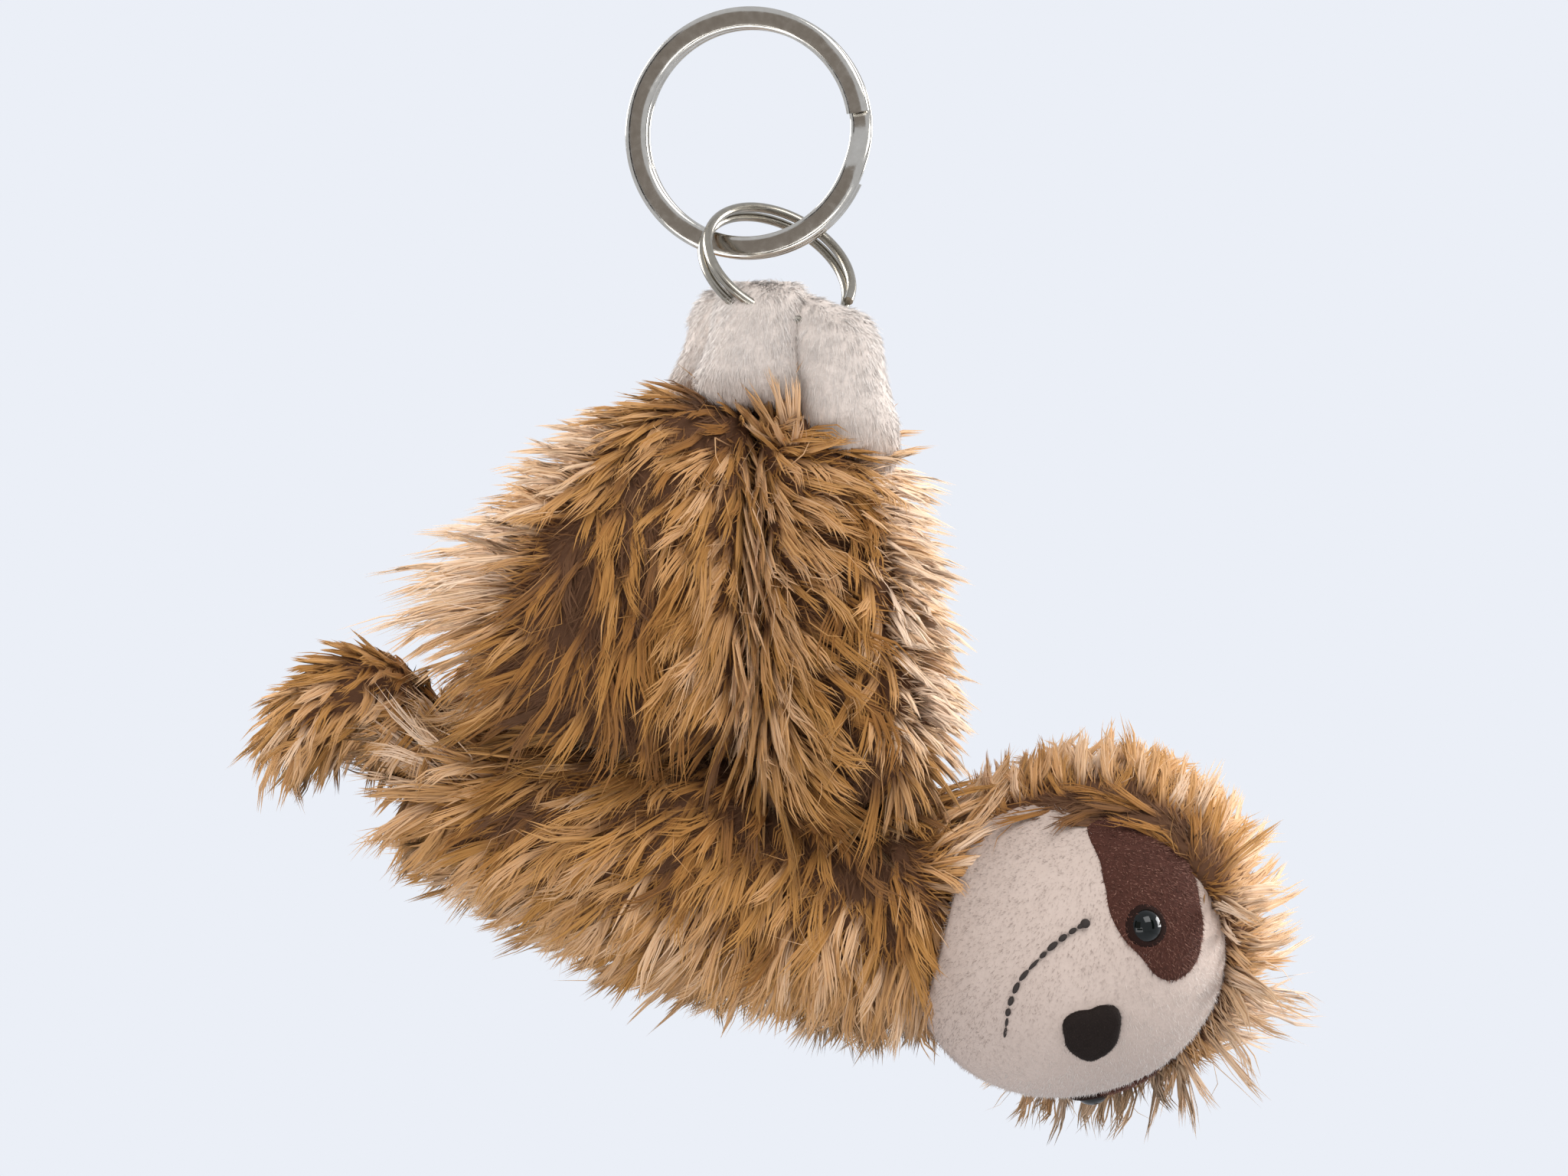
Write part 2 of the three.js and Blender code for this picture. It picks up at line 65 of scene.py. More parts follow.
def linear(hex_colour):
    """The scene-linear colour, with alpha, of an sRGB hex value."""
    levels = [int(hex_colour[start : start + 2], 16) / 255 for start in (1, 3, 5)]
    return (*[v / 12.92 if v <= 0.04045 else ((v + 0.055) / 1.055) ** 2.4 for v in levels], 1)


def add(tree, kind, settings=(), **inputs):
    """Adds a node. Settings are its own fields. Inputs are values or other nodes' outputs, and they
    are named, or numbered as n0, n1 and so on."""
    node = tree.nodes.new(kind)
    for field, value in dict(settings).items():
        setattr(node, field, value)
    for name, value in inputs.items():
        number = name[1:] if name[0] == "n" else ""
        socket = node.inputs[int(number) if number.isdigit() else name.replace("_", " ")]
        if isinstance(value, bpy.types.NodeSocket):
            tree.links.new(value, socket)
        else:
            socket.default_value = value
    return node


def seen_rays(tree):
    """1 for the rays that show a background: the camera's, and those in metal and glass."""
    path = add(tree, "ShaderNodeLightPath")
    seen = add(tree, "ShaderNodeMath", {"operation": "MAXIMUM"}, n0=path.outputs["Is Camera Ray"],
               n1=path.outputs["Is Glossy Ray"])
    return add(tree, "ShaderNodeMath", {"operation": "MAXIMUM"}, n0=seen.outputs[0],
               n1=path.outputs["Is Transmission Ray"]).outputs[0]


BACKDROP = linear("#EBEFF7")

world = bpy.data.worlds.new("pale sweep")
bpy.context.scene.world = world
world.use_nodes = True
tree = world.node_tree
room = add(tree, "ShaderNodeBackground", Color=linear("#F2F2F4"), Strength=ROOM_LIGHT)
flat = add(tree, "ShaderNodeBackground", Color=BACKDROP, Strength=1.0)
mixed = add(tree, "ShaderNodeMixShader", n0=seen_rays(tree), n1=room.outputs[0], n2=flat.outputs[0])
tree.links.new(mixed.outputs[0], tree.nodes["World Output"].inputs["Surface"])

bpy.ops.object.select_all(action="DESELECT")
bpy.ops.mesh.primitive_plane_add(size=FLOOR_SIZE, location=(0, 0, -FLOOR_DROP))
floor = bpy.context.object
floor.name = "floor"
sweep = bpy.data.materials.new("matt painted board")
sweep.use_nodes = True
tree = sweep.node_tree
paint = tree.nodes["Principled BSDF"]
paint.inputs["Base Color"].default_value = linear("#A9ACB2")
paint.inputs["Roughness"].default_value = 1.0
paint.inputs["Specular IOR Level"].default_value = 0.0
glow = add(tree, "ShaderNodeMath", {"operation": "MULTIPLY"}, n0=seen_rays(tree), n1=FLOOR_GLOW)
paint.inputs["Emission Color"].default_value = BACKDROP
tree.links.new(glow.outputs[0], paint.inputs["Emission Strength"])
floor.data.materials.append(sweep)

distance = LENS / SENSOR * IMAGE_WIDTH / PIXELS_PER_MM * MM
in_front = VIEW_CENTRE - Vector((0, distance, 0))
bpy.ops.object.camera_add(location=in_front, rotation=(radians(90), 0, 0))
camera = bpy.context.object
camera.data.lens = LENS
camera.data.sensor_width = SENSOR
bpy.context.scene.camera = camera
bpy.context.scene.view_settings.view_transform = "Standard"

# Lamps: a broad soft key from the upper right in front, a fill of nearly its strength from the lower
# left, and two soft lamps at the sides, a little behind, that light the ends of the fur. Each has
# its place from the view's centre in metres, its side in metres and its power in watts.
LAMPS = (
    ("key", (0.30, -0.50, 0.55), 0.50, 4.3),
    ("fill", (-0.30, -0.62, -0.36), 0.60, 4.2),
    ("rim left", (-0.60, 0.30, 0.30), 0.40, 6.0),
    ("rim right", (0.62, 0.25, 0.12), 0.40, 6.0),
)
for name, place, size, power in LAMPS:
    place = Vector(place)
    bpy.ops.object.light_add(type="AREA", location=VIEW_CENTRE + place)
    lamp = bpy.context.object
    lamp.name = name
    lamp.data.energy = power
    lamp.data.size = size
    lamp.rotation_euler = place.to_track_quat("Z", "Y").to_euler()

# Flags: one grey and three dark cards that stand round the camera. They give the bright metal
# something to reflect. The camera doesn't see them, and they neither light nor shade the fur.
FLAGS = (
    ("grey flag", (-0.36, -0.60, 0.06), (0.34, 0.5), "#A19A95"),
    ("dark flag", (-0.50, -0.42, 0.10), (0.10, 0.5), "#2A2522"),
    ("dark flag low", (-0.24, -0.62, -0.26), (0.4, 0.12), "#2A2522"),
    ("dark flag right", (0.52, -0.30, 0.05), (0.16, 0.5), "#3A3430"),
)
FLAG_RAISE = Vector((0, 0, 0.05))
for name, place, (wide, tall), shade in FLAGS:
    place = Vector(place)
    bpy.ops.object.select_all(action="DESELECT")
    bpy.ops.mesh.primitive_plane_add(size=1, location=VIEW_CENTRE + place + FLAG_RAISE)
    flag = bpy.context.object
    flag.name = name
    flag.scale = (wide, tall, 1)
    flag.rotation_euler = place.to_track_quat("Z", "Y").to_euler()
    flag.visible_diffuse = flag.visible_shadow = flag.visible_camera = False
    card = bpy.data.materials.new(name)
    card.use_nodes = True
    shine = add(card.node_tree, "ShaderNodeEmission", Color=linear(shade), Strength=1.0)
    card.node_tree.links.new(shine.outputs[0], card.node_tree.nodes["Material Output"].inputs["Surface"])
    flag.data.materials.append(card)

# Key ring: two turns of flat, slightly domed spring steel, bright nickel plated. The turns lie side
# by side with a narrow gap, and the one wire steps from the first to the second at its crossover.
KEY_DIAMETER = 30 * MM
KEY_WIDTH = 2.7 * MM
KEY_THICKNESS = 1.0 * MM
KEY_ROUNDNESS = 0.72
KEY_TURN = radians(14)
KEY_SPLIT = radians(-25)
KEY_STEPS = 220
KEY_SECTION_CORNERS = 40
TURN_GAP = 0.45 * MM
CROSSOVER = radians(34)
SHARP_EDGE = radians(40)


def only(thing):
    """Makes one object the only selected one."""
    bpy.ops.object.select_all(action="DESELECT")
    thing.select_set(True)
    bpy.context.view_layer.objects.active = thing


def eased(share):
    """A share from 0 to 1 with a soft start and a soft end."""
    return share * share * (3 - 2 * share)


def wind(name, pitch, split, steps):
    """Spins the active object's wire section two turns round Z, and steps it over by a pitch once."""
    ring = bpy.context.object
    ring.name = name
    bpy.ops.object.mode_set(mode="EDIT")
    bpy.ops.mesh.select_all(action="SELECT")
    bpy.ops.mesh.delete(type="ONLY_FACE")
    bpy.ops.mesh.select_all(action="SELECT")
    section = len(ring.data.vertices)
    turns = 4 * pi - CROSSOVER
    bpy.ops.mesh.spin(steps=steps, angle=turns, center=(0, 0, 0), axis=(0, 0, 1), use_auto_merge=False)
    bpy.ops.mesh.select_all(action="DESELECT")
    bpy.ops.object.mode_set(mode="OBJECT")
    for vertex in ring.data.vertices:
        angle = (vertex.index // section) / steps * turns
        share = min(max((angle - 2 * pi + CROSSOVER) / CROSSOVER, 0), 1)
        vertex.co.z += (eased(share) - 0.5) * pitch
    bpy.ops.object.mode_set(mode="EDIT")
    bpy.ops.mesh.select_non_manifold()
    bpy.ops.mesh.edge_face_add()
    bpy.ops.mesh.select_all(action="SELECT")
    bpy.ops.mesh.normals_make_consistent(inside=False)
    bpy.ops.object.mode_set(mode="OBJECT")
    bpy.ops.object.shade_smooth_by_angle(angle=SHARP_EDGE)
    ring.data.transform(Matrix.Rotation(split, 4, "Z"))
    return ring


bpy.ops.object.select_all(action="DESELECT")
bpy.ops.mesh.primitive_circle_add(vertices=KEY_SECTION_CORNERS, radius=1, fill_type="NGON")
wire = bpy.context.object
for vertex in wire.data.vertices:
    across, out = (abs(share) ** KEY_ROUNDNESS * (1 if share > 0 else -1) for share in vertex.co[:2])
    vertex.co = (across * KEY_WIDTH / 2, out * KEY_THICKNESS / 2, 0)
key_mean = (KEY_DIAMETER - KEY_WIDTH) / 2
wire.data.transform(Matrix.Translation((key_mean, 0, 0)) @ Matrix.Rotation(radians(90), 4, "X"))
key_ring = wind("key_ring_wire", KEY_THICKNESS + TURN_GAP, KEY_SPLIT, KEY_STEPS)
key_ring.data.transform(Matrix.Translation((0, 0, KEY_WIDTH - KEY_DIAMETER / 2))
                        @ Matrix.Rotation(-KEY_TURN, 4, "Z") @ Matrix.Rotation(radians(90), 4, "X"))

# Nickel plate, polished: a warm grey metal whose mirror is a little uneven. The peel is the plate's
# own fine ripple with its rubs, and the waves are those of the rolled or drawn wire under it.
PEEL = 0.9 * MM
PEEL_RANGE = (0.35, 0.7)
WAVE_LENGTH = 7 * MM
WAVE_TO_PEEL = 30.0
PLATE_BUMP = 0.3


def nickel_plate(name, dark, light, smooth, rough, relief):
    """Nickel plate between two tints and two roughnesses, with a relief of a given height."""
    material = bpy.data.materials.new(name)
    material.use_nodes = True
    tree = material.node_tree
    plate = tree.nodes["Principled BSDF"]
    plate.inputs["Metallic"].default_value = 1.0
    place = add(tree, "ShaderNodeTexCoord")
    peel = add(tree, "ShaderNodeTexNoise", Vector=place.outputs["Object"], Scale=1 / PEEL, Detail=4.0)
    rubs = add(tree, "ShaderNodeMapRange", Value=peel.outputs["Fac"], n1=PEEL_RANGE[0], n2=PEEL_RANGE[1],
               n3=smooth, n4=rough)
    tint = add(tree, "ShaderNodeMix", {"data_type": "RGBA"}, n0=peel.outputs["Fac"], n6=linear(dark),
               n7=linear(light))
    waves = add(tree, "ShaderNodeTexNoise", Vector=place.outputs["Object"], Scale=1 / WAVE_LENGTH, Detail=1.0)
    rolled = add(tree, "ShaderNodeMath", {"operation": "MULTIPLY_ADD"}, n0=waves.outputs["Fac"],
                 n1=WAVE_TO_PEEL, n2=peel.outputs["Fac"])
    bump = add(tree, "ShaderNodeBump", Strength=PLATE_BUMP, Distance=relief, Height=rolled.outputs[0])
    tree.links.new(rubs.outputs[0], plate.inputs["Roughness"])
    tree.links.new(tint.outputs[2], plate.inputs["Base Color"])
    tree.links.new(bump.outputs[0], plate.inputs["Normal"])
    return material


rolled_plate = nickel_plate("bright nickel plate", "#ACA79E", "#C6C2BA", smooth=0.10, rough=0.18,
                            relief=0.02 * MM)
key_ring.data.materials.append(rolled_plate)
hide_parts("key_ring")
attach(key_ring, "key_ring")

# Small ring: two turns of thin round wire, nickel plated too. It hangs on the key ring and runs
# through all four paws, where its ends lie. Its middle is the place of the joint that the paws turn
# about.
SMALL_DIAMETER = 19.6 * MM
SMALL_WIRE = 1.15 * MM
SMALL_LEAN = radians(40.5)
SMALL_TURN = radians(30.5)
SMALL_SPLIT = radians(-73)
SMALL_STEPS = 180
SMALL_SECTION_CORNERS = 16

joints = {joint["name"]: joint for joint in frame["joints"]}
small_middle = Vector(joints["plush_swing"]["pos_m"])
small_mean = (SMALL_DIAMETER - SMALL_WIRE) / 2
bpy.ops.object.select_all(action="DESELECT")
bpy.ops.mesh.primitive_circle_add(vertices=SMALL_SECTION_CORNERS, radius=SMALL_WIRE / 2, fill_type="NGON")
wire = bpy.context.object
wire.data.transform(Matrix.Translation((small_mean, 0, 0)) @ Matrix.Rotation(radians(90), 4, "X"))
small_ring = wind("small_ring_wire", SMALL_WIRE + TURN_GAP, SMALL_SPLIT, SMALL_STEPS)
small_ring.data.transform(Matrix.Translation(small_middle) @ Matrix.Rotation(SMALL_TURN, 4, "Z")
                          @ Matrix.Rotation(radians(90) - SMALL_LEAN, 4, "X"))
drawn_plate = nickel_plate("drawn nickel-plated wire", "#8B857A", "#A09A8E", smooth=0.20, rough=0.26,
                           relief=0.004 * MM)
small_ring.data.materials.append(drawn_plate)
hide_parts("small_ring")
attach(small_ring, "small_ring")

# Paws: four mitts of short white plush, stuffed firm and gathered round the small ring. Each is a
# backing cloth with a short pile that lies down the paw. A paw's shape is its width as a share of
# the solid's, and the share of the solid's width at which it stays in place. All are filled out at
# the corners, and the legs' paws are slanted.
PAW_SHAPES = {
    "near_leg_paw": (0.93, 0.70),
    "near_arm_paw": (1.29, 0.95),
    "far_leg_paw": (1.06, 0.12),
    "far_arm_paw": (1.12, 1.0),
}
PAW_SHRINK = (0.95, 0.96)
PAW_SQUARING = 0.13
PAW_SLANT = 0.38
PAW_GRID = 0.5 * MM
PAW_PILE = 1.9 * MM
PAW_HAIR = 0.12 * MM
PAW_LOCKS = 4700
PAW_LOCK_WIDTH = 0.6 * MM
PAW_STREAKS = 1.5 * MM
PAW_SHADED_SHARE = 0.45


def copy_of(node, name):
    """A new object with a CAD node's mesh, its loose triangles merged."""
    piece = bpy.data.objects.new(name, frame["nodes"][node].data.copy())
    piece.data.materials.clear()
    bpy.context.scene.collection.objects.link(piece)
    only(piece)
    bpy.ops.object.mode_set(mode="EDIT")
    bpy.ops.mesh.select_all(action="SELECT")
    bpy.ops.mesh.remove_doubles(threshold=0.001 * MM)
    bpy.ops.object.mode_set(mode="OBJECT")
    return piece


def apply_all(piece):
    """Applies every modifier of a piece, in order."""
    only(piece)
    for modifier in list(piece.modifiers):
        bpy.ops.object.modifier_apply(modifier=modifier.name)


def stuffed(node, name, shrink, grid=0.8 * MM, hull=True):
    """A smooth closed skin from a CAD node's outer form, drawn in by a matrix to leave room for pile."""
    skin = copy_of(node, name)
    if hull:
        bpy.ops.object.mode_set(mode="EDIT")
        bpy.ops.mesh.select_all(action="SELECT")
        bpy.ops.mesh.convex_hull()
        bpy.ops.object.mode_set(mode="OBJECT")
    skin.data.transform(shrink)
    skin.modifiers.new("evened", "REMESH").voxel_size = grid
    soften = skin.modifiers.new("softened", "SMOOTH")
    soften.factor, soften.iterations = 0.6, 12
    apply_all(skin)
    bpy.ops.object.shade_smooth()
    return skin


def shrunk(factors, about):
    """Scaling by three factors about a point."""
    return Matrix.Translation(about) @ Matrix.Diagonal((*factors, 1)) @ Matrix.Translation(-Vector(about))


HAIR_FULLNESS = 0.9


def hair(name, cuts):
    """One hair of unit length: a three-sided cone, cut across and filled out where it may bend."""
    bpy.ops.object.select_all(action="DESELECT")
    bpy.ops.mesh.primitive_cone_add(vertices=3, radius1=1, radius2=0, depth=1)
    cone = bpy.context.object
    cone.name = name
    cone.data.transform(Matrix.Translation((0, 0, 0.5)))
    bpy.ops.object.mode_set(mode="EDIT")
    for height in cuts:
        fuller = 1 + HAIR_FULLNESS * height
        bpy.ops.mesh.select_all(action="SELECT")
        bpy.ops.mesh.bisect(plane_co=(0, 0, height), plane_no=(0, 0, 1))
        bpy.ops.transform.resize(value=(fuller, fuller, 1), center_override=(0, 0, height))
    bpy.ops.object.mode_set(mode="OBJECT")
    mesh = cone.data
    shape = {
        "places": np.array([vertex.co for vertex in mesh.vertices]),
        "loops": np.array([loop.vertex_index for loop in mesh.loops]),
        "starts": np.array([face.loop_start for face in mesh.polygons]),
    }
    bpy.data.objects.remove(cone)
    return shape


def scatter(skin, count, rng):
    """Random places over a skin, and its smooth normals there."""
    mesh = skin.data
    mesh.calc_loop_triangles()
    corners = np.empty(3 * len(mesh.loop_triangles), np.int64)
    mesh.loop_triangles.foreach_get("vertices", corners)
    corners = corners.reshape(-1, 3)
    fields = []
    for field in ("co", "normal"):
        values = np.empty(3 * len(mesh.vertices))
        mesh.vertices.foreach_get(field, values)
        fields.append(values.reshape(-1, 3)[corners])
    sides = fields[0]
    areas = np.linalg.norm(np.cross(sides[:, 1] - sides[:, 0], sides[:, 2] - sides[:, 0]), axis=1)
    chosen = rng.choice(len(areas), count, p=areas / areas.sum())
    across, up = rng.random((2, count))
    folded = across + up > 1
    across[folded], up[folded] = 1 - across[folded], 1 - up[folded]
    weights = np.stack([1 - across - up, across, up], axis=1)
    places, normals = (np.einsum("nk,nkx->nx", weights, values[chosen]) for values in fields)
    return places, unit(normals)


def unit(vectors):
    """Vectors of length one."""
    return vectors / np.maximum(np.linalg.norm(vectors, axis=-1, keepdims=True), 1e-9)


def buried(places, skins, depth):
    """Which places lie deeper than depth inside any of some skins."""
    inside = np.zeros(len(places), bool)
    for skin in skins:
        tree = BVHTree.FromObject(skin, bpy.context.evaluated_depsgraph_get())
        for index, place in enumerate(places):
            near, normal, _, _ = tree.find_nearest(place)
            inside[index] |= (Vector(place) - near).dot(normal) < -depth
    return inside


MAP_MARGINS = (0.03, 0.02)
HAIR_SIDE_OFFSET = 0.004


def pile_mesh(name, shape, places, facings, tones):
    """Builds one mesh of many hairs. Its map has the hair's tone across and its length up, and a
    hair's faces lie a little apart on it."""
    count, corners = len(places), len(shape["places"])
    mesh = bpy.data.meshes.new(name)
    mesh.vertices.add(count * corners)
    mesh.vertices.foreach_set("co", places.astype(np.float32).ravel())
    loops = shape["loops"] + corners * np.arange(count)[:, None]
    starts = shape["starts"] + len(shape["loops"]) * np.arange(count)[:, None]
    mesh.loops.add(loops.size)
    mesh.loops.foreach_set("vertex_index", loops.ravel())
    mesh.polygons.add(starts.size)
    mesh.polygons.foreach_set("loop_start", starts.ravel())
    mesh.update(calc_edges=True)
    hair_places = shape["places"][shape["loops"]]
    spread = HAIR_SIDE_OFFSET * np.arctan2(hair_places[:, 1], hair_places[:, 0])
    across, up = MAP_MARGINS
    coordinates = np.empty((count, len(shape["loops"]), 2))
    coordinates[:, :, 0] = across + (1 - 2 * across) * np.clip(tones, 0, 1)[:, None] + spread
    coordinates[:, :, 1] = up + (1 - 2 * up) * hair_places[:, 2]
    mesh.uv_layers.new(name="OFBake").data.foreach_set("uv", coordinates.astype(np.float32).ravel())
    mesh.polygons.foreach_set("use_smooth", np.ones(starts.size, bool))
    mesh.validate()
    mesh.normals_split_custom_set_from_vertices(facings.astype(np.float32).reshape(-1, 3))
    piece = bpy.data.objects.new(name, mesh)
    bpy.context.scene.collection.objects.link(piece)
    return piece


STRAND_LENGTHS = (0.7, 1.06)
STRAND_WIDTHS = (0.55, 1.1)
STRAND_LEAN = 0.06
STRAND_TONE = 0.035
LOCK_LAID_FLAT = 0.7


def grow(name, shape, roots, normals, heading, lift, reach, width, tone, rng, strands=1, lock=0.0,
         clump=0.0, droop=0.0, sway=0.2, curl=0.1, sink=0.3 * MM, soft=0.5):
    """Grows locks of hair. Heading is the way that the pile lies, lift its rise from the skin in
    radians, lock the spread of a lock's roots, clump how far its tips draw together, droop how far
    they hang, sway and curl how much locks turn and bend, and soft how far the pile is shaded as
    one cloth, as light that passes through fine hairs makes it look."""
    count = len(roots)
    heading = unit(heading - normals * np.sum(heading * normals, axis=1, keepdims=True))
    side = np.cross(normals, heading)
    turn = (rng.normal(0, 1, count) * sway)[:, None]
    heading = unit(heading + side * turn)
    side = np.cross(normals, heading)
    rise = lift[:, None]
    start = heading * np.cos(rise) + normals * np.sin(rise)
    rise = rise * LOCK_LAID_FLAT
    end = unit(heading * np.cos(rise) + normals * np.sin(rise) + np.array((0, 0, -droop)))
    spread = rng.normal(0, 0.5, (count, strands, 2)) * lock
    offset = spread[..., :1] * heading[:, None] + spread[..., 1:] * side[:, None]
    length = reach[:, None] * rng.uniform(*STRAND_LENGTHS, (count, strands))
    bend = rng.normal(0, curl, (count, 1)) + rng.normal(0, curl * 0.3, (count, strands))
    lean = rng.normal(0, STRAND_LEAN, (count, strands, 1))
    share = shape["places"][:, 2][None, None, :, None]
    start, end, side, up = (v[:, None, None, :] for v in (start, end, side, normals))
    length, bend, lean = length[..., None, None], bend[..., None, None], lean[..., None]
    offset = offset[:, :, None]
    path = start * (share - share**2 / 2) + end * share**2 / 2
    path = path + side * (bend * np.sin(pi * share) + lean * share)
    ahead = start * (1 - share) + end * share + side * (bend * pi * np.cos(pi * share) + lean)
    middle = roots[:, None, None] - up * sink + offset * (1 - clump * share**0.6) + length * path
    ahead = unit(ahead)
    first = unit(np.cross(ahead, up) + 1e-6)
    second = np.cross(ahead, first)
    spin = rng.uniform(0, 2 * pi, (count, strands, 1))
    flat = shape["places"][None, None, :, :2]
    across = (flat[..., 0] * np.cos(spin) - flat[..., 1] * np.sin(spin))[..., None]
    over = (flat[..., 0] * np.sin(spin) + flat[..., 1] * np.cos(spin))[..., None]
    thinnest, wider = STRAND_WIDTHS
    half = (width / 2 * (thinnest + wider * rng.random((count, strands)) ** 2))[..., None, None]
    round_hair = first * across + second * over
    places = middle + half * round_hair
    facings = unit(soft * up + (1 - soft) * unit(round_hair))
    tones = tone[:, None] + rng.normal(0, STRAND_TONE, (count, strands))
    return pile_mesh(name, shape, places.reshape(-1, *shape["places"].shape), facings, tones.ravel())


def pile_cloth(name, root, tones, root_reach, roughness, sheen, sheen_tint):
    """A pile's material: each hair has its own tone, and deepens over its lowest share to the root's."""
    material = bpy.data.materials.new(name)
    material.use_nodes = True
    tree = material.node_tree
    shader = tree.nodes["Principled BSDF"]
    shader.inputs["Roughness"].default_value = roughness
    shader.inputs["Specular IOR Level"].default_value = 0.12
    shader.inputs["Sheen Weight"].default_value = sheen
    shader.inputs["Sheen Roughness"].default_value = 0.5
    shader.inputs["Sheen Tint"].default_value = linear(sheen_tint)
    where = add(tree, "ShaderNodeUVMap", {"uv_map": "OFBake"})
    split = add(tree, "ShaderNodeSeparateXYZ", Vector=where.outputs[0])
    tint = add(tree, "ShaderNodeValToRGB", Fac=split.outputs["X"])
    stops = tint.color_ramp.elements
    while len(stops) < len(tones):
        stops.new(0.5)
    for index, (stop, tone) in enumerate(zip(stops, tones)):
        stop.position, stop.color = index / (len(tones) - 1), linear(tone)
    depth = add(tree, "ShaderNodeMapRange", {"interpolation_type": "SMOOTHSTEP"}, Value=split.outputs["Y"],
                n1=0.0, n2=root_reach, n3=0.0, n4=1.0)
    colour = add(tree, "ShaderNodeMix", {"data_type": "RGBA"}, n0=depth.outputs[0], n6=linear(root),
                 n7=tint.outputs[0])
    tree.links.new(colour.outputs[2], shader.inputs["Base Color"])
    return material


def backing(name, dark, light, knit):
    """Knitted or felted cloth: two near tones in patches, with the relief of its loops or fibres."""
    material = bpy.data.materials.new(name)
    material.use_nodes = True
    tree = material.node_tree
    shader = tree.nodes["Principled BSDF"]
    shader.inputs["Roughness"].default_value = 0.95
    shader.inputs["Specular IOR Level"].default_value = 0.15
    where = add(tree, "ShaderNodeTexCoord")
    patches = add(tree, "ShaderNodeTexNoise", Vector=where.outputs["Object"], Scale=1 / (6 * knit),
                  Detail=3.0)
    loops = add(tree, "ShaderNodeTexNoise", Vector=where.outputs["Object"], Scale=1 / knit, Detail=2.0)
    both = add(tree, "ShaderNodeMix", {"data_type": "FLOAT"}, n0=0.5, n2=patches.outputs["Fac"],
               n3=loops.outputs["Fac"])
    tone = add(tree, "ShaderNodeMix", {"data_type": "RGBA"}, n0=both.outputs[0], n6=linear(dark),
               n7=linear(light))
    relief = add(tree, "ShaderNodeBump", Strength=0.5, Distance=0.3 * knit, Height=loops.outputs["Fac"])
    tree.links.new(tone.outputs[2], shader.inputs["Base Color"])
    tree.links.new(relief.outputs[0], shader.inputs["Normal"])
    return material


# Short polyester plush, cut pile: each hair has a tone between four off-whites, and its wide sheen
# makes the nap look chalky and soft. Its darker tones serve as painted shade on the face and at the
# paws' lower ends. The knitted backing is a dull, slightly uneven ground.
white_nap = pile_cloth("short white polyester plush", "#E2D7CE", ("#958278", "#D3C1B7", "#E3D7CE", "#EEE6E0"),
                       root_reach=0.35, roughness=0.9, sheen=0.4, sheen_tint="#F5EEEA")
white_backing = backing("white knitted backing", "#CFC2B9", "#DDD2CA", knit=0.5 * MM)
short_hair = hair("short_hair", ())


def ramp(values, start, end):
    """0 before a start, 1 beyond an end, and straight between them."""
    return np.clip((values - start) / (end - start), 0, 1)


BLOTCH_WAVES = 9
BLOTCH_CONTRAST = 1.7


def blotches(places, spacing, seed):
    """Smooth patchiness from about -1 to 1, whose patches lie about a spacing apart."""
    rng = np.random.default_rng(seed)
    ways = unit(rng.normal(size=(BLOTCH_WAVES, 3)))
    waves = ways * rng.uniform(0.6, 1.4, (BLOTCH_WAVES, 1)) * 2 * pi / spacing
    shifts = rng.uniform(0, 2 * pi, BLOTCH_WAVES)
    return BLOTCH_CONTRAST * np.sin(places @ waves.T + shifts).mean(axis=1)


def square_up(skin, amount, slant):
    """Fills out a skin's four corners as seen from the front, and draws its upper left one in."""
    low, high = (Vector(corner) for corner in (skin.bound_box[0], skin.bound_box[6]))
    middle, half = (low + high) / 2, (high - low) / 2
    for vertex in skin.data.vertices:
        across, up = (vertex.co.x - middle.x) / half.x, (vertex.co.z - middle.z) / half.z
        push = 1 + amount * (2 * across * up) ** 2
        vertex.co.x = middle.x + (vertex.co.x - middle.x) * push
        vertex.co.z = middle.z + (vertex.co.z - middle.z) * push
        vertex.co.x += slant * half.x * max(0, up + 0.4) * (1 - across) / 2


paws = {}
for seed, (node, (width, fixed)) in enumerate(PAW_SHAPES.items()):
    low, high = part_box(node)
    about = Vector((low.x + fixed * (high.x - low.x), 0, (low.z + high.z) / 2))
    paw = stuffed(node, node + "_skin", shrunk((width, *PAW_SHRINK), about), PAW_GRID)
    square_up(paw, PAW_SQUARING, PAW_SLANT if "leg" in node else 0)
    paw.data.materials.append(white_backing)
    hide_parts(node)
    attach(paw, "plush")
    rng = np.random.default_rng(seed)
    places, normals = scatter(paw, PAW_LOCKS, rng)
    down = np.tile((0.0, 0.0, -1.0), (PAW_LOCKS, 1))
    # Painted shade: the pile is darker over the lowest share of each paw, towards its bottom.
    shaded = ramp(places[:, 2], low.z + PAW_SHADED_SHARE * (high.z - low.z), low.z)
    tones = 0.86 + 0.08 * blotches(places * (1, 1, 0.12), PAW_STREAKS, seed) - 0.4 * shaded
    lift = rng.uniform(0.2, 0.6, PAW_LOCKS)
    reach = rng.uniform(0.75, 1.1, PAW_LOCKS) * PAW_PILE
    nap = grow(node + "_pile", short_hair, places, normals, down, lift, reach, PAW_HAIR, tones, rng,
               strands=5, lock=PAW_LOCK_WIDTH, clump=0.15, sway=0.14, soft=0.85)
    nap.data.materials.append(white_nap)
    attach(nap, "plush")
    paws[node] = paw
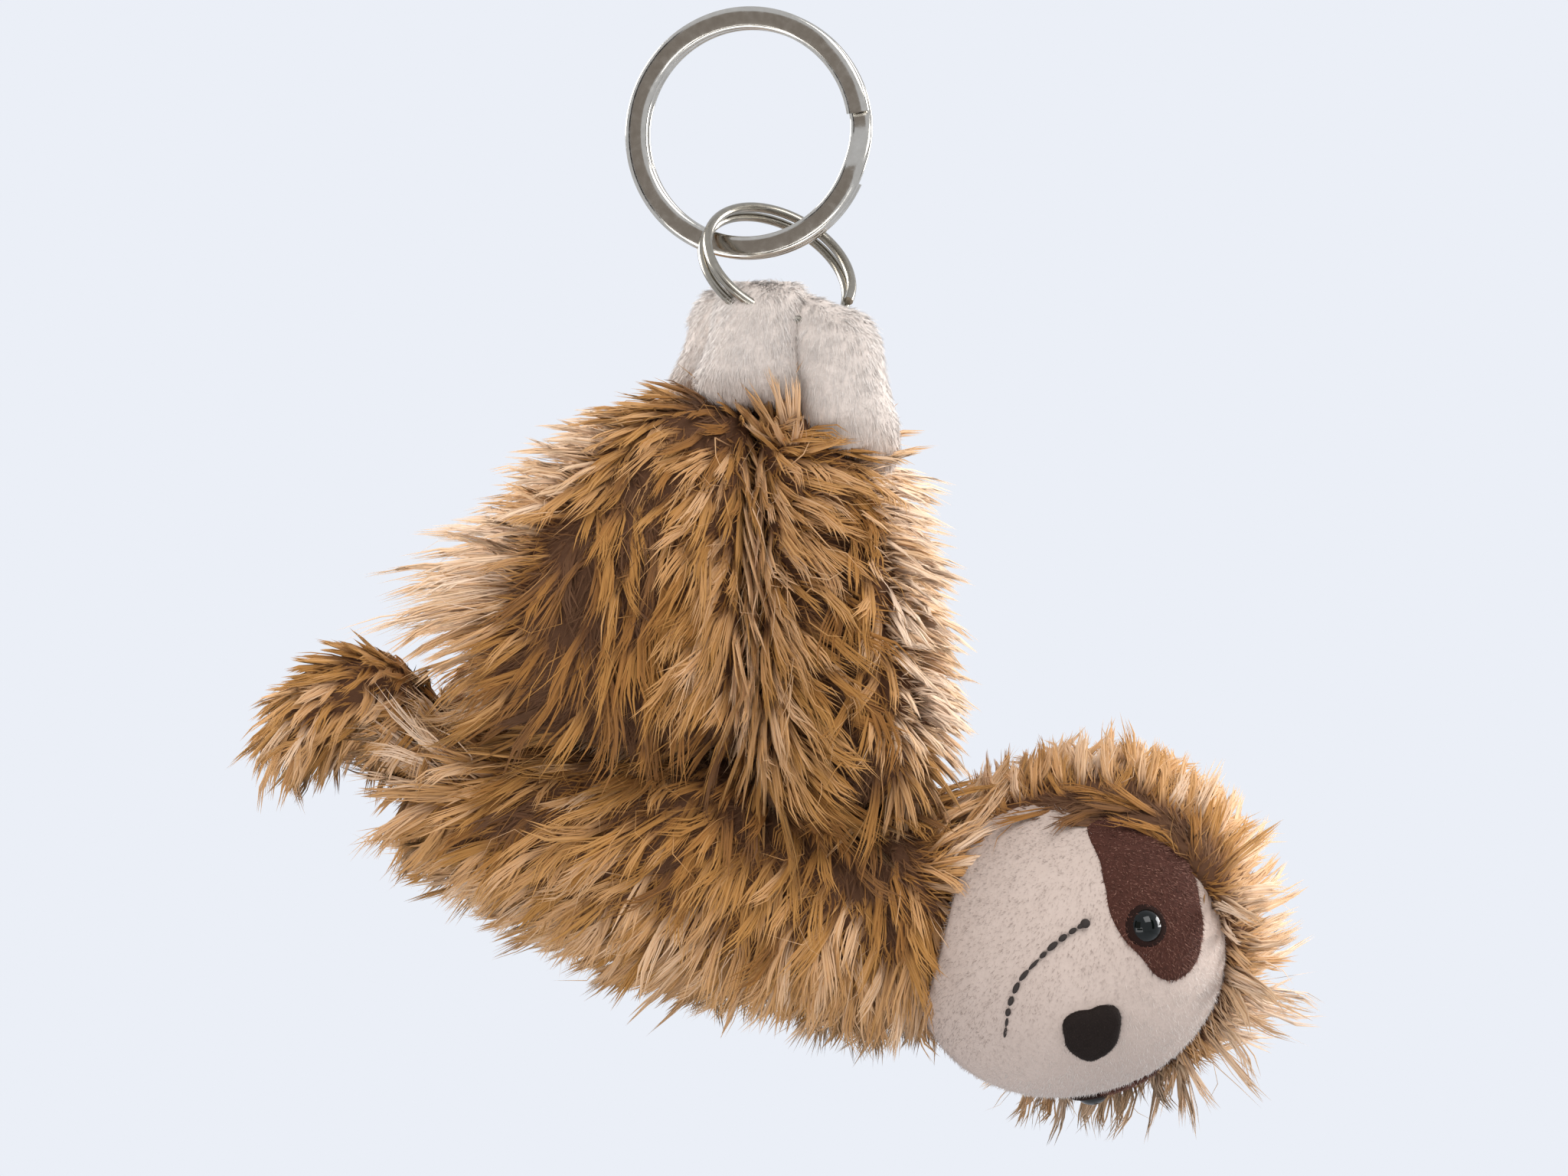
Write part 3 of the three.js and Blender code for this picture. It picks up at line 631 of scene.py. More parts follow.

# Fur: long-haired faux fur, knitted on a dark brown backing with a short dark undercoat. Its long
# golden hairs cling together in locks, which lie away from the paws and from the parting. The crease
# between the limbs and the torso and the valley between the near leg and arm are (x, z) points in
# mm, and a dark spot of the near side is (x, z, radius). Along them the locks part to show the
# undercoat, and the locks are painted darker there as painted shade. Each piece's flow says how its
# coat lies.
# The flows work in mm. Their pairs, such as the leg's hem, are where a change starts and where it is
# complete, and their plain numbers are weights that were matched to the photograph.
FUR_HAIR = 0.34 * MM
LOCK_WIDTH = 0.8 * MM
LOCK_STRANDS = 12
UNDERCOAT_SHARE = 0.42
STRAY_WIDTH_SHARE = 0.45
BURIED = 0.6 * MM
PARTING = 0.5
CREASE = ((-33, -73), (-28, -78), (-19, -81), (-10, -84.5), (-2, -86.5), (9, -91), (24, -97))
CREASE_WIDTH = 4.8
VALLEY = ((9.5, -56), (10.8, -60), (11.5, -66), (11, -75), (10, -84), (13, -94))
VALLEY_WIDTH = 2.2
DARK_SPOTS = (
    (-3.4, -45.6, 2.2), (-10.7, -51.4, 2.4), (-11.5, -60.5, 2.0), (-20, -60, 2.2), (-22.3, -67, 2.8),
    (-15, -68, 2.0), (-27.6, -73.5, 2.6), (-12.7, -76.4, 2.6), (-23.2, -79, 3.4), (-15, -84, 3.0),
    (-4, -80.5, 2.4), (-2.5, -47.2, 1.8), (9, -68, 2.4), (11.9, -87, 3.4), (2, -92, 2.4), (14, -98, 2.6),
    (18.5, -86, 2.0), (-8, -97, 1.6), (-26, -92, 1.8), (17, -104, 2.0), (3, -103, 1.6),
)
SPOT_SPREAD = 1.45
SPOT_DEPTH = 4

# Faux fur: each hair has a tone from dark brown to pale gold and is darker at its root, so that
# the locks stand out from each other, and a wide pale sheen lights its edges. The palest tones also
# serve as painted rim light where the coat turns away, and the darker ones also as painted shade in
# the folds. The matt dark backing shows where the coat is thin.
golden_fur = pile_cloth("long golden-brown faux fur", "#6E4B33",
                        ("#5C4130", "#7A5432", "#9A6A37", "#B48348", "#CC9D6C", "#E1BD99", "#EED4BC"),
                        root_reach=0.5, roughness=0.7, sheen=0.3, sheen_tint="#E2BE9A")
fur_backing = backing("dark brown knitted backing", "#4E3627", "#694A36", knit=0.6 * MM)
long_hair = hair("long_hair", (0.36, 0.72))


def hump(values, middle, width):
    """1 at a middle, and falling off softly on both sides."""
    return np.exp(-(((values - middle) / width) ** 2))


def beside(places, line, width):
    """How near places lie to a line of (x, z) points in mm, seen from the front: 1 on it, 0 far off."""
    flat = places[:, [0, 2]] / MM
    least = np.full(len(places), np.inf)
    for start, end in zip(np.array(line[:-1], float), np.array(line[1:], float)):
        along = end - start
        share = np.clip((flat - start) @ along / (along @ along), 0, 1)
        least = np.minimum(least, np.linalg.norm(flat - start - share[:, None] * along, axis=1))
    return hump(least, 0, width)


def parted_and_shaded(places):
    """Where the locks part to show the dark undercoat, and where painted shade darkens them: the folds,
    and the spots of the near side.
    """
    x, y, z = places.T / MM
    broken = np.clip(0.62 + 0.55 * blotches(places, 4 * MM, 10), 0, 1)
    thin = np.maximum(beside(places, VALLEY, VALLEY_WIDTH), beside(places, CREASE, CREASE_WIDTH) * broken)
    near = ramp(y, 0, -SPOT_DEPTH)
    for across, up, radius in DARK_SPOTS:
        away = np.hypot(x - across, z - up) / (SPOT_SPREAD * radius)
        thin = np.maximum(thin, near * np.exp(-(away**4)))
    return np.maximum(thin, 0.8 * np.clip(blotches(places, 6 * MM, 9) - 0.35, 0, 1))


def joined(parts):
    """The parts as one object, which is the first of them."""
    only(parts[0])
    for part in parts:
        part.select_set(True)
    bpy.ops.object.join()
    return bpy.context.object


def dress(name, body, skin, locks, strands, flow, hidden_by, seed, undercoat=7000, strays=500):
    """Covers a skin with undercoat, locks and a few stray hairs, and joins them to one fur. A flow
    gives each place's heading, lift, reach, tone, share of locks kept, and wildness."""
    rng = np.random.default_rng(seed)
    parts = []
    for kind, count in (("undercoat", undercoat), ("locks", locks), ("strays", strays)):
        places, normals = scatter(skin, count, rng)
        heading, lift, reach, tone, keep, wild = flow(places, normals)
        open_coat = 0.58 + 0.6 * (1 - np.abs(normals[:, 1])) + 0.3 * blotches(places, 4.5 * MM, seed + 1)
        kept = rng.random(count) < (1 if kind == "undercoat" else keep * open_coat)
        kept &= ~buried(places, hidden_by, BURIED)
        places, normals, heading, lift, reach, tone, wild = (
            values[kept] for values in (places, normals, heading, lift, reach, tone, wild))
        jitter = rng.normal(0, 1, len(places))
        if kind == "undercoat":
            tone = 0.17 + 0.05 * jitter + 1.5 * (tone - 0.5)
            part = grow(kind, short_hair, places, normals, heading, lift + 0.1 + 0.25 * jitter,
                        reach * UNDERCOAT_SHARE, FUR_HAIR, tone, rng, sway=0.5)
        elif kind == "locks":
            reach = reach * (1 + 0.16 * rng.normal(0, 1, len(places)))
            tone = tone + 0.08 * rng.normal(0, 1, len(places))
            part = grow(kind, long_hair, places, normals, heading, lift + 0.17 * jitter, reach, FUR_HAIR,
                        tone, rng, strands=strands, lock=LOCK_WIDTH, clump=0.9, droop=0.15, sway=wild,
                        curl=0.09)
        else:
            part = grow(kind, long_hair, places, normals, heading, lift + 0.25, reach * 1.05,
                        FUR_HAIR * STRAY_WIDTH_SHARE, tone + 0.12, rng, droop=0.3, sway=0.6, curl=0.25)
        parts.append(part)
    fur = joined(parts)
    fur.name = name
    fur.data.materials.append(golden_fur)
    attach(fur, body)
    return fur


def shading(places, rim, seed):
    """A lock's tone: mottled, with painted shade along the folds and painted rim light where the coat
    turns away at its outer side.
    """
    return 0.55 + 0.11 * blotches(places, 9 * MM, seed) + 0.4 * rim - 0.38 * parted_and_shaded(places)


def turned(outward):
    """How far a skin has turned to its outer side: 0 at the front, 1 where it is seen edge on."""
    return eased(ramp(outward, 0.25, 0.75))


# Limbs: two legs and two arms, each a long sleeve of fur that is stuffed and sewn shut. They hang
# from the paws on both sides of the parting, the legs towards the rump and the arms towards the
# head.
LIMB_WIDTHS = {"near_leg": 35.6, "near_arm": 24.8, "far_leg": 35.6, "far_arm": 24.8}
LIMB_DRAWN_IN = 4.0
LIMB_KEPT = (0.86, 0.965)
LIMB_LOCKS = 1150
LEG_SPAN = 35
LEG_SIDEWAYS = ((-1, -0.7, -0.5, -0.3, -0.15, 0), (-1.0, -0.5, -0.1, -0.15, -1.1, -1.5))
LEG_HEM = (-72, -78)
TAIL_LEVEL = -66
ARM_SPAN = 25
ARM_SIDEWAYS = ((0, 0.28, 0.38, 0.45, 0.55, 0.8, 1), (1.7, 1.5, 1.0, 0, -0.6, -0.3, 0.4))
LIMB_REACH = ((-60, -48, -42), (10.5, 8.5, 7.0))
GATHER_LEVEL = (-50, -47)
LEG_CORE = (-16.5, -68)


def leg_flow(places, normals):
    """Down the leg, away from the parting, and out at the leg's back, most of all above the tail."""
    x, _, z = places.T / MM
    away = (x - PARTING) / LEG_SPAN
    low = ramp(z, *LEG_HEM)
    rim = turned(-normals[:, 0])
    above_tail = hump(z, TAIL_LEVEL, 4.5)
    sideways = np.interp(away, *LEG_SIDEWAYS) - 4 * low * np.maximum(0, -away - 0.45) - 1.5 * above_tail * rim
    longer = 1 - 0.1 * rim + 0.2 * rim * low + 0.45 * rim * above_tail
    return limb_coat(places, normals, sideways, 0.32 + 0.93 * rim, longer, rim, 11)


def arm_flow(places, normals):
    """Down the arm, away from the parting and in again beyond the arm's middle."""
    x, _, z = places.T / MM
    rim = turned(normals[:, 0])
    sideways = np.interp((x - PARTING) / ARM_SPAN, *ARM_SIDEWAYS)
    longer = 1 + rim * (0.4 * ramp(z, -60, -50) - 0.35)
    return limb_coat(places, normals, sideways, 0.32 + 0.88 * rim, longer, rim, 12)


def limb_coat(places, normals, sideways, lift, longer, rim, seed):
    """The coat that both kinds of limb share: shorter towards the paws, thin along the folds, raised
    between the paws, pale along the parting and darker at the leg's core."""
    x, y, z = places.T / MM
    heading = np.stack([sideways, 0 * x, 0 * x - 1], axis=1)
    rising = ramp(z, *GATHER_LEVEL) * hump(x, 4.5, 4.5)
    heading = heading * (1 - rising[:, None]) + rising[:, None] * np.array((0.1, 0.0, 1.2))
    reach = np.interp(z, *LIMB_REACH) * longer * MM * (1 - 0.25 * rising)
    inner = np.sign(y) * normals[:, 1] < -0.5
    near_parting = hump(x, PARTING + 1, 6)
    keep = (1 - 0.88 * parted_and_shaded(places)) * np.where(inner, 0.15, 1) + 0.5 * near_parting
    core = hump(x, LEG_CORE[0], 7) * hump(z, LEG_CORE[1], 9)
    tone = shading(places, rim, seed) + 0.12 * near_parting - 0.22 * core
    return heading, lift, reach, tone, keep, 0.26 - 0.14 * near_parting


limbs = {}
for limb, width in LIMB_WIDTHS.items():
    node = limb + "_cover"
    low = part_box(node)[0]
    draw_in = shrunk((1 - LIMB_DRAWN_IN / width, *LIMB_KEPT), (PARTING * MM, 0, low.z))
    skin = stuffed(node, limb + "_skin", draw_in)
    skin.data.materials.append(fur_backing)
    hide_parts(node, limb + "_stuffing")
    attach(skin, "plush")
    limbs[limb] = skin

for seed, (limb, skin) in enumerate(limbs.items()):
    others = [other for other in limbs.values() if other is not skin] + list(paws.values())
    flow = leg_flow if "leg" in limb else arm_flow
    dress(limb + "_fur", "plush", skin, LIMB_LOCKS, LOCK_STRANDS, flow, others, 20 + seed)

# Gather: where the four limbs meet under the paws, a small stuffed tuft of the same fur closes the
# gap. Its locks stand up between the paws.
GATHER_MIDDLE = Vector((5.8, 0, -48.3)) * MM
GATHER_RADII = Vector((5.2, 9.6, 4.8)) * MM
GATHER_LOCKS = 330


def gather_flow(places, normals):
    """Up between the paws, and down on the lower half."""
    up = np.clip((places[:, 2] / MM + 51) / 2, -1, 1)
    heading = np.stack([0 * up + 0.1, 0 * up, up + 0.2], axis=1)
    reach = np.where(up > -0.3, 8.0, 6.5) * MM
    tone = 0.70 + 0.08 * blotches(places, 5 * MM, 17)
    return heading, 0 * up + 0.5, reach, tone, 0 * up + 1, 0 * up + 0.16


bpy.ops.object.select_all(action="DESELECT")
bpy.ops.mesh.primitive_ico_sphere_add(subdivisions=4, radius=1)
gather = bpy.context.object
gather.name = "gather_skin"
gather.data.transform(Matrix.Translation(GATHER_MIDDLE) @ Matrix.Diagonal((*GATHER_RADII, 1)))
bpy.ops.object.shade_smooth()
gather.data.materials.append(fur_backing)
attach(gather, "plush")
dress("gather_fur", "plush", gather, GATHER_LOCKS, LOCK_STRANDS, gather_flow, list(paws.values()), 26,
      undercoat=900, strays=4)

# Torso: one stuffed sausage of the same fur. Its pile lies back towards the rump and hangs at
# the belly. It stands up in a fluff on the rump's top and at the nape.
SLOPE = radians(14)
TORSO_KEPT = (0.94, 0.79, 0.79)
TORSO_GRID = 1.0 * MM
TORSO_LOCKS = 2000
DOWNWARD_TURN = ((-46, -38, -25, -8, 10, 26), (48, 38, 36, 50, 75, 105))
RUMP = (-28, -33)
NAPE = (17, 22)
BELLY = (-94, -102)


def torso_flow(places, normals):
    """Down at the neck, and more and more backwards towards the rump."""
    x, _, z = places.T / MM
    top = np.clip(1.6 * normals[:, 2], 0, 1) * ramp(x, *RUMP)
    nape = np.clip(1.6 * normals[:, 2] + 0.3, 0, 1) * ramp(x, *NAPE)
    low = ramp(z + 0.2 * x, *BELLY)
    rim = turned(-normals[:, 2])
    angle = np.radians(np.interp(x, *DOWNWARD_TURN)) * (1 - top)
    heading = np.stack([0.8 * nape - np.cos(angle), 0 * x, 1.3 * top + 1.8 * nape - np.sin(angle)], axis=1)
    lift = 0.35 + 0.4 * rim + 0.75 * top + 0.75 * nape
    reach = (9.5 + 1.5 * blotches(places, 12 * MM, 5) + 2.5 * top + 1.0 * nape - 2.2 * rim) * MM
    # Painted light: the locks are paler on the underside and towards the belly, as if lit from below.
    tone = shading(places, 0.3 * rim, 13) + 0.08 * low + 0.3 * top + 0.4 * nape
    keep = 1 - 0.75 * parted_and_shaded(places) * (1 - np.maximum(0.6 * low, nape))
    return heading, lift, reach, tone, keep, 0 * x + 0.3


def only_where(condition, flow):
    """A flow with locks only where its places fulfil a condition."""

    def part_of_coat(places, normals):
        *coat, keep, wild = flow(places, normals)
        return *coat, keep * condition(places), wild

    return part_of_coat


low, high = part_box("torso_cover")
middle = (low + high) / 2
level = Matrix.Translation(middle) @ Matrix.Rotation(SLOPE, 4, "Y") @ Matrix.Translation(-middle)
draw_in = level @ shrunk(TORSO_KEPT, (high.x, 0, middle.z)) @ level.inverted()
torso = stuffed("torso_cover", "torso_skin", draw_in, TORSO_GRID)
torso.data.materials.append(fur_backing)
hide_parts("torso_cover", "torso_stuffing")
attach(torso, "plush")
for seed, (name, sign) in enumerate((("torso_fur_near", -1), ("torso_fur_far", 1))):
    side = only_where(lambda places: sign * places[:, 1] >= 0, torso_flow)
    dress(name, "plush", torso, TORSO_LOCKS, LOCK_STRANDS, side, list(limbs.values()), 30 + seed)

# Tail: a short stuffed stub of the same fur that curls over backwards, dark on top, with a lock
# that hangs from its end.
TAIL_KEPT = (0.96, 0.8, 0.98)
TAIL_GRID = 0.6 * MM
TAIL_LOCKS = 420
TAIL_END = (-50, -55)


def tail_flow(places, normals):
    """Along the tail towards its end, and down."""
    top = np.clip(normals[:, 2], 0, 1)
    end = ramp(places[:, 0] / MM, *TAIL_END)
    heading = np.stack([0.5 * end - 0.8, 0 * end, -0.4 * end - 0.6], axis=1)
    reach = (6.5 - 1.5 * top + 2.5 * end * (1 - top)) * MM
    tone = 0.66 - 0.24 * top + 0.12 * blotches(places, 6 * MM, 14)
    return heading, 0.75 - 0.35 * top, reach, tone, 0 * end + 1, 0 * end + 0.36


low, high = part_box("tail")
tail = stuffed("tail", "tail_skin", shrunk(TAIL_KEPT, (low + high) / 2), TAIL_GRID, hull=False)
tail.data.materials.append(fur_backing)
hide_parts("tail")
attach(tail, "tail")
dress("tail_fur", "tail", tail, TAIL_LOCKS, LOCK_STRANDS, tail_flow, [torso], 40, undercoat=900, strays=14)

# Head: a stuffed ball, its front a cup of short white plush and its back a shell of the long fur,
# sewn together round the face. It is turned on the neck towards the near side. Stuffing swells the
# muzzle and the cheek on the chin's side.
HEAD_TURN = radians(31.5)
FACE_RADIUS = 17.9 * MM
FACE_SHIFT = Vector((-0.7, 0, 1.2)) * MM
FACE_BACK = 3.5 * MM
FACE_PILE = 1.05 * MM
FACE_PILE_END = 2 * MM
FACE_HAIR = 0.13 * MM
FACE_HAIRS = 42000
MUZZLE_RISE = 0.8 * MM
CHEEK_RISE = 2.4 * MM
CHEEK = Vector((-0.8, -0.2, -0.57))
NECK_PLANE = -15.5 * MM

head_middle = Vector(joints["head_turn"]["pos_m"])
head_axes = Matrix.Rotation(radians(90) + SLOPE, 4, "Y") @ Matrix.Rotation(HEAD_TURN, 4, "Z")
head_place = Matrix.Translation(head_middle) @ head_axes
face_place = Matrix.Translation(head_middle + FACE_SHIFT) @ head_axes
cheek = (head_axes.inverted().to_3x3() @ CHEEK).normalized()
backward = np.array(head_axes.to_3x3() @ Vector((0, 1, 0)))


def swell(way):
    """How far the stuffing swells the face beyond a ball in a direction: at the muzzle and the cheek."""
    return MUZZLE_RISE * max(0, 2 * max(0, -way.y) ** 2 - 1) ** 2 + CHEEK_RISE * max(0, way.dot(cheek)) ** 3


def towards(places, direction):
    """How far places lie towards a direction from the head's middle: 1 right on it."""
    return unit(places - np.array(head_middle)) @ unit(np.array(direction))


bpy.ops.object.select_all(action="DESELECT")
bpy.ops.mesh.primitive_ico_sphere_add(subdivisions=6, radius=FACE_RADIUS)
face = bpy.context.object
face.name = "face_skin"
for vertex in face.data.vertices:
    way = vertex.co.normalized()
    vertex.co += way * swell(way)
bpy.ops.object.mode_set(mode="EDIT")
bpy.ops.mesh.select_all(action="SELECT")
bpy.ops.mesh.bisect(plane_co=(0, 0, NECK_PLANE), plane_no=(0, 0, 1), use_fill=True, clear_inner=True)
bpy.ops.mesh.select_all(action="SELECT")
bpy.ops.mesh.bisect(plane_co=(0, FACE_BACK, 0), plane_no=(0, 1, 0), use_fill=True, clear_outer=True)
bpy.ops.object.mode_set(mode="OBJECT")
bpy.ops.object.shade_smooth()
face.data.transform(face_place)
# The face's backing is a shade darker than the paws', as painted shade on a face that looks down.
face.data.materials.append(backing("shaded white knitted backing", "#C2B0A5", "#D0BFB5", knit=0.5 * MM))
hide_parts("face_panel", "head_stuffing")
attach(face, "head")

rng = np.random.default_rng(50)
places, normals = scatter(face, FACE_HAIRS, rng)
front = (places - np.array(head_middle)) @ backward < FACE_PILE_END
places, normals = places[front], normals[front]
count = len(places)
downward = np.tile((-0.25, 0.0, -1.0), (count, 1)) + 0.6 * backward
# Painted shade: the pile is darker towards the face's upper left, under the hood.
shaded = np.clip(0.45 + (places - np.array(head_middle)) @ np.array((-0.45, 0.0, 0.7)) / FACE_RADIUS, 0, 1)
lift = rng.uniform(0.35, 1.15, count)
reach = rng.uniform(0.7, 1.1, count) * FACE_PILE
tones = np.maximum(0.1, 0.68 + 0.07 * rng.normal(0, 1, count) - 1.4 * shaded)
nap = grow("face_pile", short_hair, places, normals, downward, lift, reach, FACE_HAIR, tones, rng, sway=0.6,
           soft=0.75)
nap.data.materials.append(white_nap)
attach(nap, "head")

# Hood: the shell of long fur. Its locks stand out round the face, lie along the rim over the
# forehead and backwards over the head, and are drawn under the chin. It is thinner towards the crown.
HOOD_KEPT = (0.92, 0.92, 0.86)
HOOD_HELD = (0, 4.6 * MM, NECK_PLANE)
HOOD_GRID = 0.9 * MM
HOOD_LOCKS = 1500
HOOD_STRANDS = 13

draw_in = head_place @ shrunk(HOOD_KEPT, HOOD_HELD) @ head_place.inverted()
hood = stuffed("head_hood", "hood_skin", draw_in, HOOD_GRID)
hood.data.materials.append(fur_backing)
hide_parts("head_hood")
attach(hood, "head")


def hood_flow(places, normals):
    """Outwards round the face and backwards over the head, and along the rim over the forehead."""
    from_middle = (places - np.array(head_middle)) / MM
    back = from_middle @ backward
    above = ramp(towards(places, (-0.1, 0.0, 1.0)), 0.3, 0.65)
    band = ramp(back, 5.5, 2.5) * above
    chin = ramp(towards(places, (0.2, 0.45, -0.9)), 0.8, 0.9) * ramp(back, 5, 2)
    cheek_side = ramp(towards(places, (0.7, 0.0, -0.7)), 0.75, 0.95)
    tufts = np.clip(blotches(places, 4.5 * MM, 18), 0, 1)
    round_face = unit(np.cross(backward, from_middle - back[:, None] * backward))
    along = round_face * np.sign(1e-6 - round_face[:, :1])
    lying = band[:, None] ** 2
    heading = backward * (1 - lying) + (along - 0.35 * backward) * lying - chin[:, None] * 1.6 * backward
    lift = (np.interp(back, (-2, 4, 14), (1.05, 0.8, 0.55)) * (1 - band) + 0.15 * band) * (1 - 0.35 * chin)
    reach = np.interp(back, (-2, 1), (6.0, 6.5)) * (1 + 0.7 * tufts * (1 - above))
    reach = (reach + 1.5 * band + 4.5 * cheek_side * (1 - chin) + 2 * chin) * MM
    tone = 0.74 + 0.13 * blotches(places, 8 * MM, 15) + 0.12 * (1 - above) - 0.5 * band
    thinned = np.clip(0.5 + blotches(places, 5 * MM, 16), 0, 1)
    keep = (1 - 0.45 * (1 - above) * thinned) * (1 - 0.2 * band)
    return heading, lift, reach, tone, keep, 0.34 - 0.2 * band


for seed, (name, sign) in enumerate((("hood_fur_lower", -1), ("hood_fur_upper", 1))):
    half = only_where(lambda places: sign * (places[:, 2] - head_middle.z) >= 0, hood_flow)
    dress(name, "head", hood, HOOD_LOCKS, HOOD_STRANDS, half, [face, torso], 60 + seed)

# Eye patches: brown embroidered satin pieces, laid on the face with their wide ends under the hood's
# edge. Each is a thin pad with a short fuzz. The left one sits further round and is narrower. An
# outline is in degrees towards the head's left and towards its crown.
PATCH_OUTLINE = (
    (-27, 31), (-26.4, 38.9), (-34.5, 47), (-50.8, 48.1), (-68.8, 42.8), (-84.4, 34.5), (-98, 24),
    (-103, 8), (-96, -6), (-81.7, -9.3), (-67.8, -1.1), (-55.8, 3.1), (-42.1, 10.5), (-34.6, 22.6),
)
PATCH_MIDDLE = (-62, 22)
PATCH_RISE = 0.55 * MM
PATCH_HAIR = 0.13 * MM
PATCH_FUZZ = 0.7 * MM
PATCH_HAIRS = 12000
PATCHES = ((1, "right_eye_patch", 0, 1), (-1, "left_eye_patch", 18, 0.86))
PAD_SEGMENTS = 96
PAD_RINGS = 32
PAD_UNDERSIDE = -0.5


def facing(leftward, upward):
    """A direction on the head, from degrees towards its left and towards its crown."""
    left, up = radians(leftward), radians(upward)
    return Vector((sin(left) * cos(up), -cos(left) * cos(up), sin(up)))


def on_face(leftward, upward, height):
    """A place above the face, from degrees towards the head's left and towards its crown."""
    way = facing(leftward, upward)
    return face_place @ (way * (FACE_RADIUS + swell(way) + height))


def pad(name, outline, middle, rise, side=1):
    """A thin pad with rounded edges that follows the face, in an outline given in degrees."""
    bpy.ops.object.select_all(action="DESELECT")
    bpy.ops.mesh.primitive_uv_sphere_add(segments=PAD_SEGMENTS, ring_count=PAD_RINGS)
    piece = bpy.context.object
    piece.name = name
    squeeze = cos(radians(middle[1]))
    corners = [complex((left - middle[0]) * squeeze, up - middle[1]) for left, up in outline]
    corners.sort(key=np.angle)
    angles = np.degrees([np.angle(corner) for corner in corners])
    around = np.arange(0, 360, 360 / PAD_SEGMENTS)
    radii = np.interp(around, angles, [abs(corner) for corner in corners], period=360)
    radii = sum(np.roll(radii, shift) for shift in (-2, -1, 0, 1, 2)) / 5
    for vertex in piece.data.vertices:
        x, y, z = vertex.co
        share = min(1, (x * x + y * y) ** 0.5)
        angle = np.degrees(np.arctan2(y, x))
        reach = share**0.7 * np.interp(angle, around, radii, period=360)
        left = middle[0] + reach * cos(radians(angle)) / squeeze
        up = middle[1] + reach * sin(radians(angle))
        thickness = rise * (1 if z > 0 else PAD_UNDERSIDE) * (1 - share**6) ** 0.5
        vertex.co = on_face(side * left, up, thickness)
    bpy.ops.object.mode_set(mode="EDIT")
    bpy.ops.mesh.select_all(action="SELECT")
    bpy.ops.mesh.normals_make_consistent(inside=False)
    # A new sphere's faces come in an order that varies from run to run. The fuzz is scattered in
    # that order, so it is fixed here.
    bpy.ops.mesh.sort_elements(type="CURSOR_DISTANCE", elements={"FACE"})
    bpy.ops.object.mode_set(mode="OBJECT")
    bpy.ops.object.shade_smooth()
    return piece


def fuzz(name, piece, count, length, width, tones, rng):
    """A short fuzz over the front of a pad. Tones gives that many random tones."""
    places, normals = scatter(piece, count, rng)
    outer = np.sum(normals * (places - np.array(head_middle)), axis=1) > 0
    places, normals = places[outer], normals[outer]
    count = len(places)
    down = np.tile((0.0, 0.0, -1.0), (count, 1))
    lift = rng.uniform(0.2, 1.2, count)
    reach = rng.uniform(0.6, 1.2, count) * length
    return grow(name, short_hair, places, normals, down, lift, reach, width, tones(count), rng, sway=1.5,
                sink=0.1 * MM)


# Embroidery thread: browns in fine speckles with a soft reddish sheen, over a darker felt.
embroidery = pile_cloth("brown embroidery thread", "#3F2620", ("#45291F", "#613D32", "#7D5347", "#A27868"),
                        root_reach=0.7, roughness=0.6, sheen=0.3, sheen_tint="#B08A7C")
patch_backing = backing("brown felt", "#3F2620", "#55342B", knit=0.5 * MM)
for side, node, further, width in PATCHES:
    middle_left, middle_up = PATCH_MIDDLE[0] - further, PATCH_MIDDLE[1]
    outline = [(middle_left + width * (left - PATCH_MIDDLE[0]), up) for left, up in PATCH_OUTLINE]
    patch = pad(node + "_pad", outline, (middle_left, middle_up), PATCH_RISE, side)
    patch.data.materials.append(patch_backing)
    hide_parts(node)
    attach(patch, "head")
    rng = np.random.default_rng(70 + side)
    thread_fuzz = fuzz(node + "_fuzz", patch, PATCH_HAIRS, PATCH_FUZZ, PATCH_HAIR,
                       lambda count: 0.42 + 0.42 * rng.normal(0, 1, count), rng)
    thread_fuzz.data.materials.append(embroidery)
    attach(thread_fuzz, "head")

# Eyes: turned glossy black beads, each in a small socket, whose shade is painted as a dark pad round
# the bead. Each has a shank that goes through its patch into a washer. The left eye sits further round
# than the right one.
EYE_DIAMETER = 4.4 * MM
EYE_SUNK = 0.45 * MM
EYE_PLACES = {"right_eye": (-46.5, 20.4), "left_eye": (64, 20.4)}
SOCKET_RADIUS = 8.8
SOCKET_RISE = PATCH_RISE + 0.25 * MM

# Polished acrylic: nearly black, with a small sharp highlight. The dark pad round it is matt and is
# the painted shade of the sunken socket.
black_bead = bpy.data.materials.new("polished black acrylic")
black_bead.use_nodes = True
shader = black_bead.node_tree.nodes["Principled BSDF"]
# The bead's faint green tint is a painted reflection.
shader.inputs["Base Color"].default_value = linear("#050A08")
shader.inputs["Roughness"].default_value = 0.05
shader.inputs["IOR"].default_value = 1.49
shader.inputs["Specular IOR Level"].default_value = 0.3
socket_shade = backing("dark brown painted socket shade", "#1C100D", "#2A1914", knit=0.25 * MM)
for node, (leftward, upward) in EYE_PLACES.items():
    side = 1 if leftward < 0 else -1
    middle = (-abs(leftward), upward)
    turns = [radians(turn) for turn in range(0, 360, 15)]
    circle = [(middle[0] + SOCKET_RADIUS * cos(turn), middle[1] + SOCKET_RADIUS * sin(turn))
              for turn in turns]
    socket = pad(node + "_socket", circle, middle, SOCKET_RISE, side)
    socket.data.materials.append(socket_shade)
    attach(socket, "head")
    bpy.ops.object.select_all(action="DESELECT")
    bpy.ops.mesh.primitive_uv_sphere_add(segments=64, ring_count=32, radius=EYE_DIAMETER / 2)
    eye = bpy.context.object
    eye.name = node + "_bead"
    eye.data.transform(Matrix.Translation(on_face(leftward, upward, -EYE_SUNK)))
    bpy.ops.object.shade_smooth()
    eye.data.materials.append(black_bead)
    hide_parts(node)
    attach(eye, "head")

